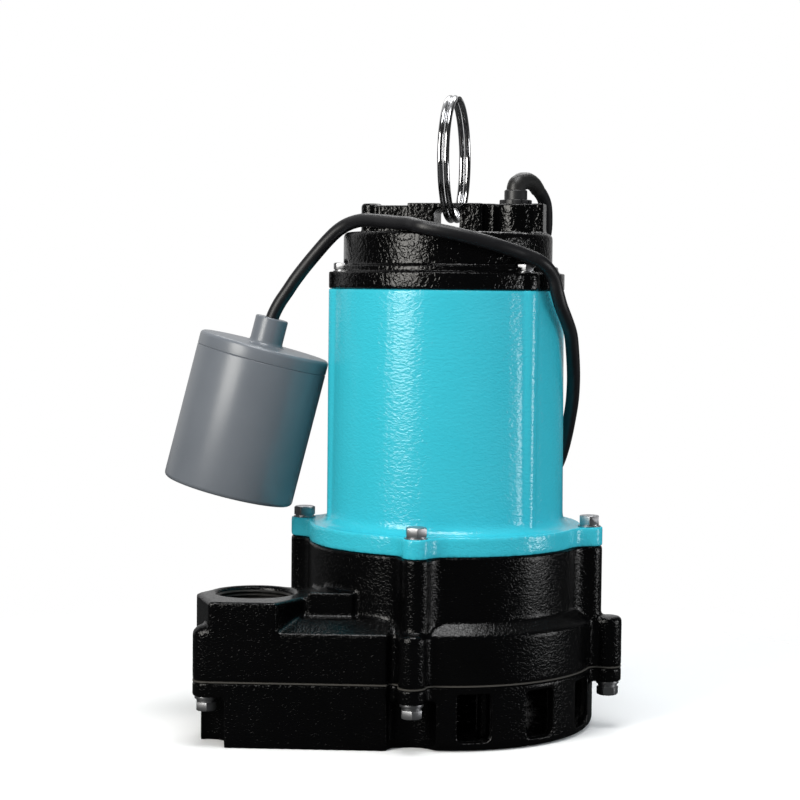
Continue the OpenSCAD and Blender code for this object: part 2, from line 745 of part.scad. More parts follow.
module rotor_core() {
    color([0.4, 0.41, 0.43]) translate([0, 0, stator_z - 1]) ring(rotor_r, 8, stator_h + 2);
}

module rotor_end_rings() {
    color([0.7, 0.71, 0.73]) for (z = [stator_z - 9, stator_z + stator_h + 1]) translate([0, 0, z]) {
        ring(33, 22, 8);
        for (k = [0:7]) rotate(45 * k) translate([21, -1, 0]) cube([11, 2, 8]);
    }
}

// Backward-curved vane: part of a circle from the hub to the rim
module vane() {
    intersection() {
        translate([38, 22]) difference() {
            circle(37);
            circle(33.8);
        }
        translate([-4, 1]) square([26, 60]);
        circle(55.6);
    }
}

module impeller() {
    hub_bottom = 39.5;
    shroud_z = 48;
    shroud_top = 51.5;
    color([0.35, 0.36, 0.38]) difference() {
        union() {
            translate([0, 0, shroud_z]) cylinder(r = 56, h = shroud_top - shroud_z);
            translate([0, 0, hub_bottom]) cylinder(r1 = 11, r2 = 13, h = shroud_z - hub_bottom + 1);
            translate([0, 0, hub_bottom + 0.5]) linear_extrude(height = shroud_z - hub_bottom) {
                for (k = [0:5]) rotate(60 * k) vane();
            }
        }
        translate([0, 0, 30]) cylinder(r = 5.4, h = 30);
    }
}

module impeller_nut() {
    color(steel) difference() {
        translate([0, 0, 33]) intersection() {
            cylinder(r = 8.4, h = 6.5, $fn = 6);
            cylinder(r1 = 7.4, r2 = 13, h = 6.5);
        }
        translate([0, 0, 34.5]) cylinder(r = 4.8, h = 10);
    }
}

module seal_seat() {
    color([0.85, 0.84, 0.8]) translate([0, 0, chamber_roof]) ring(13, 7, 7);
}

module seal_head() {
    color([0.15, 0.15, 0.16]) rotate_extrude() polygon([
        [5.9, 56.5], [12, 56.5], [12, 60], [9.5, 60], [9.5, 61.95], [6.6, 61.95], [6.6, 60.5], [5.9, 60.5],
    ]);
}

// Spring of the shaft seal, between the impeller's back and the rotating head
module seal_spring() {
    wire = 0.5;
    low = 52.05;
    rise = 3.9;
    turns = 3;
    steps = 16 * turns;
    function on_spring(s) = [9.5 * cos(360 * turns * s), 9.5 * sin(360 * turns * s), low + rise * s];
    path = [for (k = [0:steps]) on_spring(k / steps)];
    color(steel) tube(path, wire, 6);
}

module run_capacitor() {
    color([0.78, 0.79, 0.8]) translate([-24, -30, housing_top + 12.6]) rotate([-90, 0, 0]) {
        cylinder(r = 12.4, h = 60);
        for (s = [-1, 1]) translate([4 * s, 0, 0]) translate([-0.4, -3, 58]) cube([0.8, 6, 10]);
    }
}

module capacitor_strap() {
    color(steel) translate([-24, -6, housing_top]) difference() {
        union() {
            translate([0, 0, 12.6]) rotate([-90, 0, 0]) cylinder(r = 13.3, h = 12);
            translate([-13.3, 0, 0]) cube([26.6, 12, 12.6]);
            translate([-20, 0, 0]) cube([40, 12, 1]);
        }
        translate([0, -1, 12.6]) rotate([-90, 0, 0]) cylinder(r = 12.45, h = 14);
        translate([-12.45, -1, -1]) cube([24.9, 14, 13.6]);
    }
}

module thermal_protector() {
    color([0.2, 0.2, 0.22]) translate([14, 24, housing_top]) {
        round_top(9, 6, 1);
        for (s = [-1, 1]) translate([5 * s - 1.5, -0.4, 5]) cube([3, 0.8, 7]);
    }
}

// --- Lifting ring --------------------------------------------------------------------------------

// Split ring: two turns of wire side by side, joined by one short crossing at the top
module lifting_ring() {
    side = ring_wire / 2 + 0.1;
    steps = 72;
    function across(s) = side * (2 * smooth((s - 0.47) / 0.06) - 1);
    path = [
        for (k = [0:steps]) let(s = k / steps, a = 96 + 708 * s)
            [ring_x + across(s), ring_r * cos(a), ring_pivot_z + ring_r + ring_r * sin(a)]
    ];
    color([0.8, 0.8, 0.82]) tube(path, ring_wire / 2, 8);
}

// --- Float ---------------------------------------------------------------------------------------

module in_float() {
    translate(float_at) rotate([0, 0, float_turn]) rotate([0, float_tilt, 0]) children();
}

module float_shell() {
    half = float_len / 2;
    color(float_grey) in_float() difference() {
        translate([0, 0, lid_z]) mirror([0, 0, 1]) round_top(float_r, half + lid_z, 2.5);
        translate([0, 0, -half + float_wall]) cylinder(r = float_r - float_wall, h = float_len);
    }
}

module float_cap() {
    half = float_len / 2;
    fillet = 3;
    color(float_grey) in_float() difference() {
        union() {
            translate([0, 0, lid_z]) round_top(float_r, half - lid_z, 2.5);
            translate([0, 0, lid_z - 3]) cylinder(r = float_r - float_wall - 0.1, h = 4);
            translate([0, 0, lid_z - 10]) cylinder(r = 15, h = 12);
            translate([0, 0, half - 1]) round_top(neck_r, neck_len + 1, 1.2);
            rotate_extrude() translate([neck_r, half]) difference() {
                translate([-2, -1]) square([fillet + 2, fillet + 1]);
                translate([fillet, fillet]) circle(fillet);
            }
        }
        translate([0, 0, lid_z - 11]) cylinder(r = 12, h = 8);
        translate([0, 0, 0]) cylinder(r = 3, h = neck_tip_z - 2);
    }
}

module float_switch_tube() {
    color([0.85, 0.85, 0.82]) in_float() difference() {
        translate([0, 0, ball_rest - 10]) cylinder(r = 12, h = lid_z - 3 - ball_rest + 10);
        translate([0, 0, ball_rest - 8.1]) cylinder(r = 8.4, h = 80);
    }
}

module float_microswitch() {
    color([0.12, 0.12, 0.14]) in_float() {
        translate([0, 0, 12]) cylinder(r = 8.3, h = 12);
        translate([-3, -1.5, 7]) cube([6, 3, 6]);
    }
}

module float_ball() {
    color(steel) in_float() translate([0, 0, ball_rest]) sphere(8);
}

// --- Cords ---------------------------------------------------------------------------------------

module float_lead() {
    color(cord_black) {
        tube(lead_route, cord_d / 2, 10);
        translate(float_pivot) sphere(cord_d / 2, $fn = 32);
    }
}

module float_cord_run() {
    color(cord_black) tube(float_route, cord_d / 2, 10);
}

module power_cord_run() {
    color(cord_black) tube(power_route, cord_d / 2, 10);
}

module coil_at(place) {
    translate([place[0], place[1], 0]) children();
}

module float_cord_coil() {
    color(cord_black) coil_at(float_coil_at) tube(coil_route, cord_d / 2, coil_sides);
}

module power_cord_coil() {
    color(cord_black) coil_at(power_coil_at) tube(coil_route, cord_d / 2, coil_sides);
}

// A thin band round the bundle of turns
module coil_tie() {
    band = 0.5;
    from = coil_in - 4.4;
    wide = coil_out - coil_in + 8.8;
    high = coil_z + 3 * layer_h + 4.3;
    color([0.85, 0.85, 0.85]) rotate(tie_angle) translate([from, 4, 0.6]) rotate([90, 0, 0]) linear_extrude(height = 8)
        difference() {
            translate([-band, -band]) square([wide + 2 * band, high + 2 * band - 0.6]);
            square([wide, high - 0.6]);
        }
}

module float_coil_tie() {
    coil_at(float_coil_at) coil_tie();
}

module power_coil_tie() {
    coil_at(power_coil_at) coil_tie();
}

// A plug lies at the end of its coil: X runs on along the cord, Z is up
module at_coil_end(place) {
    translate([place[0] + coil_end[0], place[1] + coil_end[1], coil_end[2]]) rotate(coil_end_angle + 90) children();
}

module plug_tail(length) {
    rotate([0, 90, 0]) cylinder(r1 = 5.2, r2 = 8, h = length);
}

module power_plug_body() {
    color(cord_black) at_coil_end(power_coil_at) {
        plug_tail(20);
        hull() {
            translate([18, 0, 0]) rotate([0, 90, 0]) cylinder(r = 9, h = 1, $fn = 32);
            for (y = [-1, 1]) for (z = [-1, 1])
                translate([30, 8.5 * y, 8.5 * z]) rotate([0, 90, 0]) cylinder(r = 4, h = 12, $fn = 16);
        }
        for (y = [-1, 1]) for (z = [-1, 1]) translate([42, 9 * y, 9 * z]) rotate([0, 90, 0]) cylinder(r = 4, h = 3);
        translate([42, -13, -9]) cube([3, 26, 18]);
        translate([42, -9, -13]) cube([3, 18, 26]);
    }
}

// Two flat blades and a round earth pin
module plug_blades(length) {
    for (s = [-1, 1]) translate([0, 6.35 * s - 0.75, -6.2]) cube([length, 1.5, 6.3]);
    translate([0, 0, 8.8]) rotate([0, 90, 0]) cylinder(r = 2.4, h = length + 1.5);
    translate([length + 1.5, 0, 8.8]) sphere(2.4, $fn = 24);
}

module power_plug_blades() {
    color([0.83, 0.7, 0.4]) at_coil_end(power_coil_at) translate([45, 0, 0]) plug_blades(16);
}

module piggyback_plug_body() {
    color(cord_black) at_coil_end(float_coil_at) difference() {
        union() {
            plug_tail(28);
            translate([27, -15, -13]) cube([29, 30, 26]);
            translate([42, 13, 0]) rotate([-90, 0, 0]) cylinder(r = 13, h = 5);
        }
        // Receptacle for the second plug, in the back of the first
        translate([42, 18.1, 0]) rotate([0, 0, 90]) rotate([180, 0, 0]) translate([-12, 0, 0]) plug_blades(15);
    }
}

module piggyback_plug_blades() {
    color([0.83, 0.7, 0.4]) at_coil_end(float_coil_at) translate([42, -15, 0]) rotate([0, 0, -90]) plug_blades(16);
}

// --- The nodes -----------------------------------------------------------------------------------

base_strainer();
bottom_plate();
plate_screws();
volute_gasket();
volute_casing();
base_bolts();
flange_bolts();
lower_bearing_plate();
lower_bearing_outer_ring();
housing_o_ring();
motor_housing();
stator_core();
stator_windings();
upper_bearing_plate();
upper_bearing_outer_ring();
preload_washer();
run_capacitor();
capacitor_strap();
thermal_protector();
cap_o_ring();
top_cap();
cap_screws();
cord_gland_nut();
cord_strain_relief();
seal_seat();
motor_shaft();
rotor_core();
rotor_end_rings();
impeller();
impeller_nut();
seal_head();
seal_spring();
upper_bearing_inner_ring();
lower_bearing_inner_ring();
upper_balls();
upper_cage();
lower_balls();
lower_cage();
lifting_ring();
float_shell();
float_cap();
float_switch_tube();
float_microswitch();
float_ball();
float_lead();
float_cord_run();
float_cord_coil();
float_coil_tie();
piggyback_plug_body();
piggyback_plug_blades();
power_cord_run();
power_cord_coil();
power_coil_tie();
power_plug_body();
power_plug_blades();
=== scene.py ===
"""Submersible sump pump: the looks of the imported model, in the order in which the pump is put together."""

import math

import bmesh
import bpy
from mathutils import Matrix, Vector


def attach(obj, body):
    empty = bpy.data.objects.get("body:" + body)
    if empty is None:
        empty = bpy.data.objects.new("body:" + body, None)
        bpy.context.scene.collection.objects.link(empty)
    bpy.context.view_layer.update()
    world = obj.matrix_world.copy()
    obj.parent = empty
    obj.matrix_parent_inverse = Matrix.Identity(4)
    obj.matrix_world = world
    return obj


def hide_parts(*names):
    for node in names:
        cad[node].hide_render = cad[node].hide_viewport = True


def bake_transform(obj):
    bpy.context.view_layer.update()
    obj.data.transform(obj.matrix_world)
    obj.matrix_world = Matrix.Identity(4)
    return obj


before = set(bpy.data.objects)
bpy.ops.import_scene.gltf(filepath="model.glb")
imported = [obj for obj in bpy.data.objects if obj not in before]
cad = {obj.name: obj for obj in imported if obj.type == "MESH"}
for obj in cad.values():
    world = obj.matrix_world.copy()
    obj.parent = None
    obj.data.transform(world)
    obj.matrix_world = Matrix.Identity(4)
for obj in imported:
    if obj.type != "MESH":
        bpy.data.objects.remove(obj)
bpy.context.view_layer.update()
bpy.ops.object.select_all(action="DESELECT")

# --- Studio --------------------------------------------------------------------------------------
# The pump stands on a pale sheet that fades into a white room. A tall soft lamp stands to the left
# of the camera and a small low one to the right, one hangs overhead, and one lights the back.

scene = bpy.context.scene
scene.view_settings.view_transform = "Standard"


def aim(thing, forward, roll=0.0):
    """Turns the camera or a lamp to look along a direction, then rolls it about that direction."""
    thing.rotation_mode = "QUATERNION"
    upright = forward.to_track_quat("-Z", "Y")
    thing.rotation_quaternion = upright @ Matrix.Rotation(roll, 3, "Z").to_quaternion()


view_turn, view_yaw, view_pitch, view_roll = (math.radians(angle) for angle in (10.5, 1.326, 3.291, 0.6))
view_from, eye_level = 1.2, 0.2619
heading = view_turn + view_yaw
camera = bpy.data.objects.new("camera", bpy.data.cameras.new("camera"))
scene.collection.objects.link(camera)
camera.location = (view_from * math.sin(view_turn), -view_from * math.cos(view_turn), eye_level)
level = math.cos(view_pitch)
aim(camera, Vector((-math.sin(heading) * level, math.cos(heading) * level, -math.sin(view_pitch))), view_roll)
camera.data.lens, camera.data.sensor_width = 90, 36
camera.data.clip_start, camera.data.clip_end = 0.05, 30
scene.camera = camera


def soft_lamp(name, side, distance, height, size, watts, look_at, tint=(1, 1, 1)):
    """A soft lamp that stands at an angle to the right of the camera, and points at the pump's axis."""
    bearing = view_turn - math.pi / 2 + math.radians(side)
    lamp = bpy.data.objects.new(name, bpy.data.lights.new(name, "AREA"))
    scene.collection.objects.link(lamp)
    lamp.data.shape, lamp.data.energy, lamp.data.color = "RECTANGLE", watts, tint
    lamp.data.size, lamp.data.size_y = size
    lamp.location = (distance * math.cos(bearing), distance * math.sin(bearing), height)
    aim(lamp, Vector((0, 0, look_at)) - lamp.location)


warm = (1, 0.98, 0.93)
soft_lamp("key_lamp", -43, distance=1.15, height=0.78, size=(0.5, 1.1), watts=16, look_at=0.78, tint=warm)
soft_lamp("side_lamp", 80, distance=0.9, height=0.13, size=(0.26, 0.3), watts=1.6, look_at=0.13)
soft_lamp("top_lamp", 10, distance=0.2, height=1.5, size=(0.6, 0.55), watts=9.5, look_at=0.1)
soft_lamp("back_lamp", 176, distance=0.8, height=1.1, size=(0.9, 0.3), watts=4, look_at=0.2)


class Shade:
    """A socket of a shader tree: arithmetic on it adds the nodes that work the sum out."""

    def __init__(self, tree, socket):
        self.tree, self.socket = tree, socket

    def node(self, kind, values=None, take=0, **settings):
        """Adds a node of any kind, its settings before the values or links of its sockets."""
        added = self.tree.nodes.new("ShaderNode" + kind)
        for name, value in settings.items():
            setattr(added, name, value)
        for name, value in (values or {}).items():
            if isinstance(value, Shade):
                self.tree.links.new(value.socket, added.inputs[name])
            else:
                added.inputs[name].default_value = value
        return Shade(self.tree, added.outputs[take])

    def output(self, take):
        """Another output of the same node."""
        return Shade(self.tree, self.socket.node.outputs[take])

    def sum_of(self, operation, other, swapped=False):
        first, second = (other, self) if swapped else (self, other)
        return self.node("Math", {0: first, 1: second}, operation=operation)

    def __add__(self, other):
        return self.sum_of("ADD", other)

    def __sub__(self, other):
        return self.sum_of("SUBTRACT", other)

    def __rsub__(self, other):
        return self.sum_of("SUBTRACT", other, swapped=True)

    def __mul__(self, other):
        return self.sum_of("MULTIPLY", other)

    def __pow__(self, other):
        return self.sum_of("POWER", other)

    __radd__, __rmul__ = __add__, __mul__

    def between(self, low, high):
        """0 where the value is below low, 1 where it is above high, and smooth from one to the other."""
        sockets = {"Value": self, "From Min": low, "From Max": high}
        return self.node("MapRange", sockets, interpolation_type="SMOOTHSTEP")

    def colours(self, first, second):
        """A colour that goes from the first to the second as this value goes from 0 to 1."""
        first, second = ((*c, 1) if isinstance(c, tuple) else c for c in (first, second))
        return self.node("Mix", {0: self, 6: first, 7: second}, take=2, data_type="RGBA")


def emptied(holder):
    """Empties the shader tree of a world or a material, and gives a place to start a new one."""
    holder.use_nodes = True
    holder.node_tree.nodes.clear()
    return Shade(holder.node_tree, None)


def joined(shade, target):
    shade.tree.links.new(shade.socket, target)


def ray(start, kind):
    return start.node("LightPath", take=f"Is {kind} Ray")


def seen_by_camera(start):
    """1 for what the camera sees, straight or through something clear, and 0 for what only lights."""
    return ray(start, "Camera").sum_of("MAXIMUM", ray(start, "Transmission"))


room = bpy.data.worlds.new("room")
scene.world = room
start = emptied(room)
depth = start.node("SeparateXYZ", {0: start.node("TexCoord", take="Generated")}, take="Y")
right = depth.output("X").between(-0.2, 0.7)
behind = depth.between(0.0, 0.45) * (1 - right) * 0.55
plain = start.node("Background", {"Color": (0.9, 0.96, 1, 1), "Strength": right * 0.75 + 0.22})
unlit = start.node("Background", {"Color": (1, 1, 1, 1), "Strength": 0.02})
white = start.node("Background", {"Color": (1, 1, 1, 1), "Strength": 1.0})
mirrored = start.node("MixShader", {0: behind, 1: unlit, 2: white})
lit = start.node("MixShader", {0: ray(start, "Glossy"), 1: plain, 2: mirrored})
surface = start.node("MixShader", {0: seen_by_camera(start), 1: lit, 2: white})
joined(surface, room.node_tree.nodes.new("ShaderNodeOutputWorld").inputs["Surface"])

bpy.ops.mesh.primitive_plane_add(size=6)
sheet = bpy.context.object
sheet.name = "sheet"
sheet_paper = bpy.data.materials.new("sheet_paper")
solid_to, clear_from = 0.13, 0.5
start = emptied(sheet_paper)
seen = seen_by_camera(start)
reach = start.node("VectorMath", {0: start.node("TexCoord", take="Object")}, take="Value", operation="LENGTH")
unseen = ray(start, "Glossy").colours((0.3, 0.3, 0.3), (0.04, 0.04, 0.04))
paper = start.node("BsdfDiffuse", {"Color": seen.colours(unseen, (0.97, 0.97, 0.97))})
below = start.node("NewGeometry", take="Backfacing")
clear = reach.between(solid_to, clear_from).sum_of("MAXIMUM", below) * seen
surface = start.node("MixShader", {0: clear, 1: paper, 2: start.node("BsdfTransparent")})
joined(surface, sheet_paper.node_tree.nodes.new("ShaderNodeOutputMaterial").inputs["Surface"])
sheet.data.materials.append(sheet_paper)

# --- Strainer base -------------------------------------------------------------------------------
# Grey-iron casting with a slotted wall, an arm-shaped skirt and a flat lip for the bolts. It is
# sand-cast, so its edges are soft, and it is dipped in glossy black enamel that keeps a fine grain.


def finish(name, make, **constants):
    """A new finish: make(at) gives what varies over the surface, from the piece's own coordinates."""
    material = bpy.data.materials.new(name)
    material.use_nodes = True
    tree = material.node_tree
    shader = tree.nodes["Principled BSDF"]
    at = Shade(tree, tree.nodes.new("ShaderNodeTexCoord").outputs["Object"])
    for socket, value in constants.items():
        shader.inputs[socket.replace("_", " ")].default_value = value
    for socket, value in make(at).items():
        joined(value, shader.inputs[socket.replace("_", " ")])
    return material


def grain(at, size, detail=2.0, rough=0.5, warp=0.0):
    """Noise whose grains are about the given size in millimetres."""
    sockets = {"Vector": at, "Scale": 1000 / size, "Detail": detail, "Roughness": rough, "Distortion": warp}
    return at.node("TexNoise", sockets)


def bumps(height, deep, under=None):
    """A Bump node for a height field that is the given depth in millimetres."""
    sockets = {"Height": height, "Distance": deep / 1000, "Strength": 1.0}
    if under:
        sockets["Normal"] = under
    return height.node("Bump", sockets)


# Mask for painted edge highlight: it picks out outer edges so their colour can be made paler.
def bright_edge_mask(at, low, high):
    """1 along outer edges, where the surface bulges, and 0 on flat faces."""
    return at.node("NewGeometry", take="Pointiness").between(low, high)


def black_enamel(size, deep):
    """Thick black enamel: soft wrinkles of the given size over the finer skin of the sand mould."""

    def make(at):
        wrinkles = grain(at, size, 1.5, 0.5, 0.6)
        skin = grain(at, 0.55, 3.0, 0.6)
        cloud = grain(at, 38, 3.0)
        # Paler, slightly rougher patches along outer edges: painted edge highlight.
        edge_highlight_patches = bright_edge_mask(at, 0.53, 0.6) * grain(at, 3.0, 3.0).between(0.42, 0.62)
        dust = grain(at, 0.8, 1.0).between(0.7, 0.8) * 0.5
        black = cloud.colours((0.0006, 0.0006, 0.0007), (0.0018, 0.0018, 0.002))
        return {
            "Base_Color": (edge_highlight_patches * 0.4 + dust * 0.1).colours(black, (0.05, 0.05, 0.05)),
            "Roughness": 0.12 + cloud * 0.06 + edge_highlight_patches * 0.12 + dust * 0.1,
            "Normal": bumps(skin, 0.022, bumps(wrinkles.between(0.35, 0.65), deep)),
        }

    return make


casting_black = finish("casting_black", black_enamel(1.3, 0.085), Specular_IOR_Level=0.25)


def only(piece):
    """Selects one piece and nothing else."""
    bpy.ops.object.select_all(action="DESELECT")
    piece.select_set(True)
    bpy.context.view_layer.objects.active = piece


def work(piece, kind, **settings):
    """Adds a modifier to a piece and applies it."""
    only(piece)
    modifier = piece.modifiers.new(kind.lower(), kind)
    for name, value in settings.items():
        setattr(modifier, name, value)
    bpy.ops.object.modifier_apply(modifier=modifier.name)


def in_edit_mode(piece, *steps):
    """Runs steps in edit mode on the whole of a piece; each step is an operator and its settings."""
    only(piece)
    bpy.ops.object.mode_set(mode="EDIT")
    for operator, settings in steps:
        bpy.ops.mesh.select_all(action="SELECT")
        operator(**settings)
    bpy.ops.object.mode_set(mode="OBJECT")


def traced(node, name):
    """A new piece with a merged copy of a CAD node's mesh."""
    piece = bpy.data.objects.new(name, cad[node].data.copy())
    scene.collection.objects.link(piece)
    piece.data.materials.clear()
    in_edit_mode(piece, (bpy.ops.mesh.remove_doubles, {"threshold": 1e-6}))
    return piece


def fitted(piece, body, material, slot, *nodes):
    """Gives a finished piece its finish and body, and hides the nodes it stands for; its slot is not used."""
    piece.data.materials.clear()
    piece.data.materials.append(material)
    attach(piece, body)
    if nodes:
        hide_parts(*nodes)
    return piece


def one_piece(name, parts):
    """Joins parts into one piece."""
    bpy.ops.object.select_all(action="DESELECT")
    for part in parts:
        part.select_set(True)
    bpy.context.view_layer.objects.active = parts[0]
    bpy.ops.object.join()
    parts[0].name = name
    return parts[0]


most_triangles = 190000


def cast(node, name, *more, skin, rounds):
    """A casting: the node's shape and more parts, with every edge rounded as sand and paint leave it.

    The skin, in millimetres, is how fine the mould is, and the rounds are how soft the edges get.
    """
    piece = one_piece(name, [traced(node, name), *more])
    coarse = 1.0
    work(piece, "REMESH", mode="VOXEL", voxel_size=coarse * skin / 1000)
    work(piece, "SMOOTH", factor=0.5, iterations=rounds)
    work(piece, "DECIMATE", ratio=min(1.0, most_triangles / 2 / len(piece.data.polygons)))
    only(piece)
    bpy.ops.object.shade_smooth()
    return piece


strainer = cast("base_strainer", "strainer_casting", skin=1.0, rounds=4)
fitted(strainer, "pump", casting_black, "black_casting", "base_strainer")

# --- Plate under the strainer --------------------------------------------------------------------
# Stamped steel plate, painted with the base, that closes the strainer from below. Four zinc-plated
# pan-head screws hold it to bosses inside the strainer.


def smoothed(piece, angle):
    """Shades a piece smooth, apart from edges sharper than the angle in degrees."""
    only(piece)
    bpy.ops.object.shade_smooth_by_angle(angle=math.radians(angle))
    return piece


def bevelled(piece, width, segments=2, angle=30):
    """Breaks the sharp edges of a piece, in millimetres, and shades it smooth between them."""
    work(piece, "BEVEL", width=width / 1000, segments=segments, angle_limit=math.radians(angle))
    return smoothed(piece, 40)


def plain_metal(colour, size=0.4, deep=0.01):
    """Bare metal: faint blotches in its colour and gloss, and a fine tooth."""

    def make(at):
        blotch = grain(at, 9, 4.0)
        tooth = grain(at, size, 2.0)
        return {
            "Base_Color": blotch.colours(tuple(0.86 * c for c in colour), colour),
            "Roughness": 0.26 + blotch * 0.18 + tooth * 0.06,
            "Normal": bumps(tooth, deep),
        }

    return make


bolt_steel = finish("bolt_steel", plain_metal((0.42, 0.425, 0.44)), Metallic=1.0)
plate = traced("bottom_plate", "strainer_plate")
fitted(bevelled(plate, 0.4), "pump", casting_black, "black_casting", "bottom_plate")


def outline_of(*corners):
    """Points along an outline in millimetres; a corner with a third number is rounded to that radius."""
    points, arc_steps = [], 4
    for k, corner in enumerate(corners):
        here = Vector(corner[:2])
        if len(corner) == 2 or not corner[2]:
            points.append(here)
            continue
        to_last = (Vector(corners[k - 1][:2]) - here).normalized()
        to_next = (Vector(corners[(k + 1) % len(corners)][:2]) - here).normalized()
        half = to_last.angle(to_next) / 2
        middle = here + (to_last + to_next).normalized() * corner[2] / math.sin(half)
        first = here + to_last * corner[2] / math.tan(half) - middle
        last = here + to_next * corner[2] / math.tan(half) - middle
        for step in range(arc_steps + 1):
            points.append(middle + first.slerp(last, step / arc_steps).normalized() * corner[2])
    return points


def primitive(name, add, **settings):
    """Adds a primitive with nothing else selected."""
    bpy.ops.object.select_all(action="DESELECT")
    add(**settings)
    piece = bpy.context.object
    piece.name = name
    return piece


def hoop(name, points):
    """A closed line through points in metres: a circle with its vertices moved there."""
    piece = primitive(name, bpy.ops.mesh.primitive_circle_add, vertices=len(points))
    for vertex, point in zip(piece.data.vertices, points):
        vertex.co = point
    return piece


def turned(name, outline, steps=96, closed=True):
    """A turned piece: an outline of radius and height, in millimetres, spun once round the Z axis."""
    piece = hoop(name, [(radius / 1000, 0, height / 1000) for radius, height in outline])
    shape = bmesh.new()
    shape.from_mesh(piece.data)
    if not closed:
        shape.verts.ensure_lookup_table()
        shape.edges.remove(shape.edges.get((shape.verts[0], shape.verts[-1])))
    shape.to_mesh(piece.data)
    in_edit_mode(
        piece,
        (bpy.ops.mesh.spin, {"steps": steps, "angle": math.tau, "center": (0, 0, 0), "axis": (0, 0, 1)}),
        (bpy.ops.mesh.remove_doubles, {"threshold": 1e-6}),
        (bpy.ops.mesh.normals_make_consistent, {"inside": False}),
    )
    return smoothed(piece, 32)


def set_at(piece, matrix):
    """Moves a piece's mesh, so that its object stays at the origin."""
    piece.data.transform(matrix)
    piece.data.update()
    return piece


def repeated(name, part, places):
    """Copies of a part, each with its own mesh, moved by the given matrices and joined."""
    copies = []
    for place in places:
        copy = bpy.data.objects.new(name, part.data.copy())
        scene.collection.objects.link(copy)
        copies.append(set_at(copy, place))
    bpy.data.objects.remove(part)
    return one_piece(name, copies)


def cut(piece, tool, operation="DIFFERENCE"):
    """Cuts a piece with a tool, or keeps what the two share, and puts the tool away."""
    work(piece, "BOOLEAN", operation=operation, object=tool, solver="EXACT")
    bpy.data.objects.remove(tool)
    return piece


def block(name, low, high):
    """A block between two corners in millimetres."""
    piece = primitive(name, bpy.ops.mesh.primitive_cube_add, size=1)
    low, high = Vector(low) / 1000, Vector(high) / 1000
    place = Matrix.Translation((low + high) / 2) @ Matrix.Diagonal((*(high - low), 1))
    return set_at(piece, place)


def at_polar(angle, radius, height, turn=0.0, flip=False):
    """The place of a bolt: its distance and height in millimetres, and whether it points down."""
    bearing = math.radians(angle)
    place = Vector((radius * math.cos(bearing), radius * math.sin(bearing), height)) / 1000
    matrix = Matrix.Translation(place) @ Matrix.Rotation(math.radians(turn), 4, "Z")
    return matrix @ Matrix.Rotation(math.pi, 4, "X") if flip else matrix


screw_outline = outline_of(
    (0, -12), (1.7, -12, 0.3), (1.9, -11), (1.9, 0), (4, 0, 0.2), (4, 1.3, 1.1), (2.6, 2, 0.6), (0, 2),
)
pan_head = turned("pan_head", screw_outline, steps=48, closed=False)
for turn in (0, 90):
    slot_tool = block("recess_tool", (-2.1, -0.45, 0.9), (2.1, 0.45, 3))
    cut(pan_head, set_at(slot_tool, Matrix.Rotation(math.radians(turn), 4, "Z")))
screw_circle_r, screw_seat = 72, 2.6
places = [
    at_polar(angle, screw_circle_r, screw_seat, 25 * k, flip=True)
    for k, angle in enumerate((27, 126.5, 207, 300))
]
fitted(repeated("strainer_plate_screws", pan_head, places), "pump", bolt_steel, "stainless", "plate_screws")

# --- Gasket, volute and base bolts ---------------------------------------------------------------
# The volute is a second grey-iron casting, enamelled like the base. A fibre gasket seals the two,
# and five zinc-plated hexagon bolts with lock washers draw them together from below.


def fibre(at):
    fleck = grain(at, 0.7, 3.0)
    return {
        "Base_Color": fleck.colours((0.030, 0.028, 0.025), (0.075, 0.068, 0.058)),
        "Normal": bumps(fleck, 0.05),
    }


def carried(node, material):
    """A CAD node that keeps its shape and takes a finish."""
    cad[node].data.materials.clear()
    cad[node].data.materials.append(material)


carried("volute_gasket", finish("gasket_fibre", fibre, Roughness=0.8))
volute = cast("volute_casing", "volute_casting", skin=1.15, rounds=4)
fitted(volute, "pump", casting_black, "black_casting", "volute_casing")


def hex_bolt(name, flats, head, washer, shank, length):
    """A bolt seated at Z = 0, head up: flat washer, split lock washer, chamfered head and shank."""
    flat_t, wide, hole = washer * 0.45, flats * 0.6, shank + 0.2
    low, crown, chamfer = washer - 1, washer + head, 1.9
    corner_r = flats / math.sqrt(3) / 1000
    top = primitive(name, bpy.ops.mesh.primitive_cylinder_add, vertices=6, radius=corner_r, depth=head / 1000)
    set_at(top, Matrix.Translation((0, 0, (washer + head / 2) / 1000)))
    cone = ((0, low), (flats * 0.8, low), (flats * 0.8, crown - chamfer), (flats * 0.47, crown), (0, crown))
    cut(top, turned("chamfer_tool", cone, steps=64, closed=False), "INTERSECT")
    bevelled(top, 0.12, angle=20)
    flat_outline = outline_of((hole, 0), (wide, 0, 0.2), (wide, flat_t, 0.2), (hole, flat_t))
    flat = turned("washer", flat_outline, steps=48)
    tip = 1 - length
    stem_outline = outline_of((0, tip), (shank - 0.7, tip), (shank, 2.4 - length), (shank, 1), (0, 1))
    stem = turned("shank", stem_outline, steps=24, closed=False)
    split = primitive("lock_washer", bpy.ops.mesh.primitive_plane_add, size=1)
    across = (flats * 0.5 - shank - 0.2) / 1000
    thick = (washer - flat_t) / 1000 - 0.00003
    middle = ((flats * 0.5 + shank + 0.2) / 2000, 0, flat_t / 1000 + thick / 2 + 0.00001)
    stand = Matrix.Rotation(math.pi / 2, 4, "X") @ Matrix.Diagonal((across, thick, 1, 1))
    set_at(split, Matrix.Translation(middle) @ stand)
    nearly_round = math.radians(348)
    in_edit_mode(
        split,
        (bpy.ops.mesh.spin, {"steps": 40, "angle": nearly_round, "center": (0, 0, 0), "axis": (0, 0, 1)}),
        (bpy.ops.mesh.normals_make_consistent, {"inside": False}),
    )
    return one_piece(name, [top, flat, stem, smoothed(split, 40)])


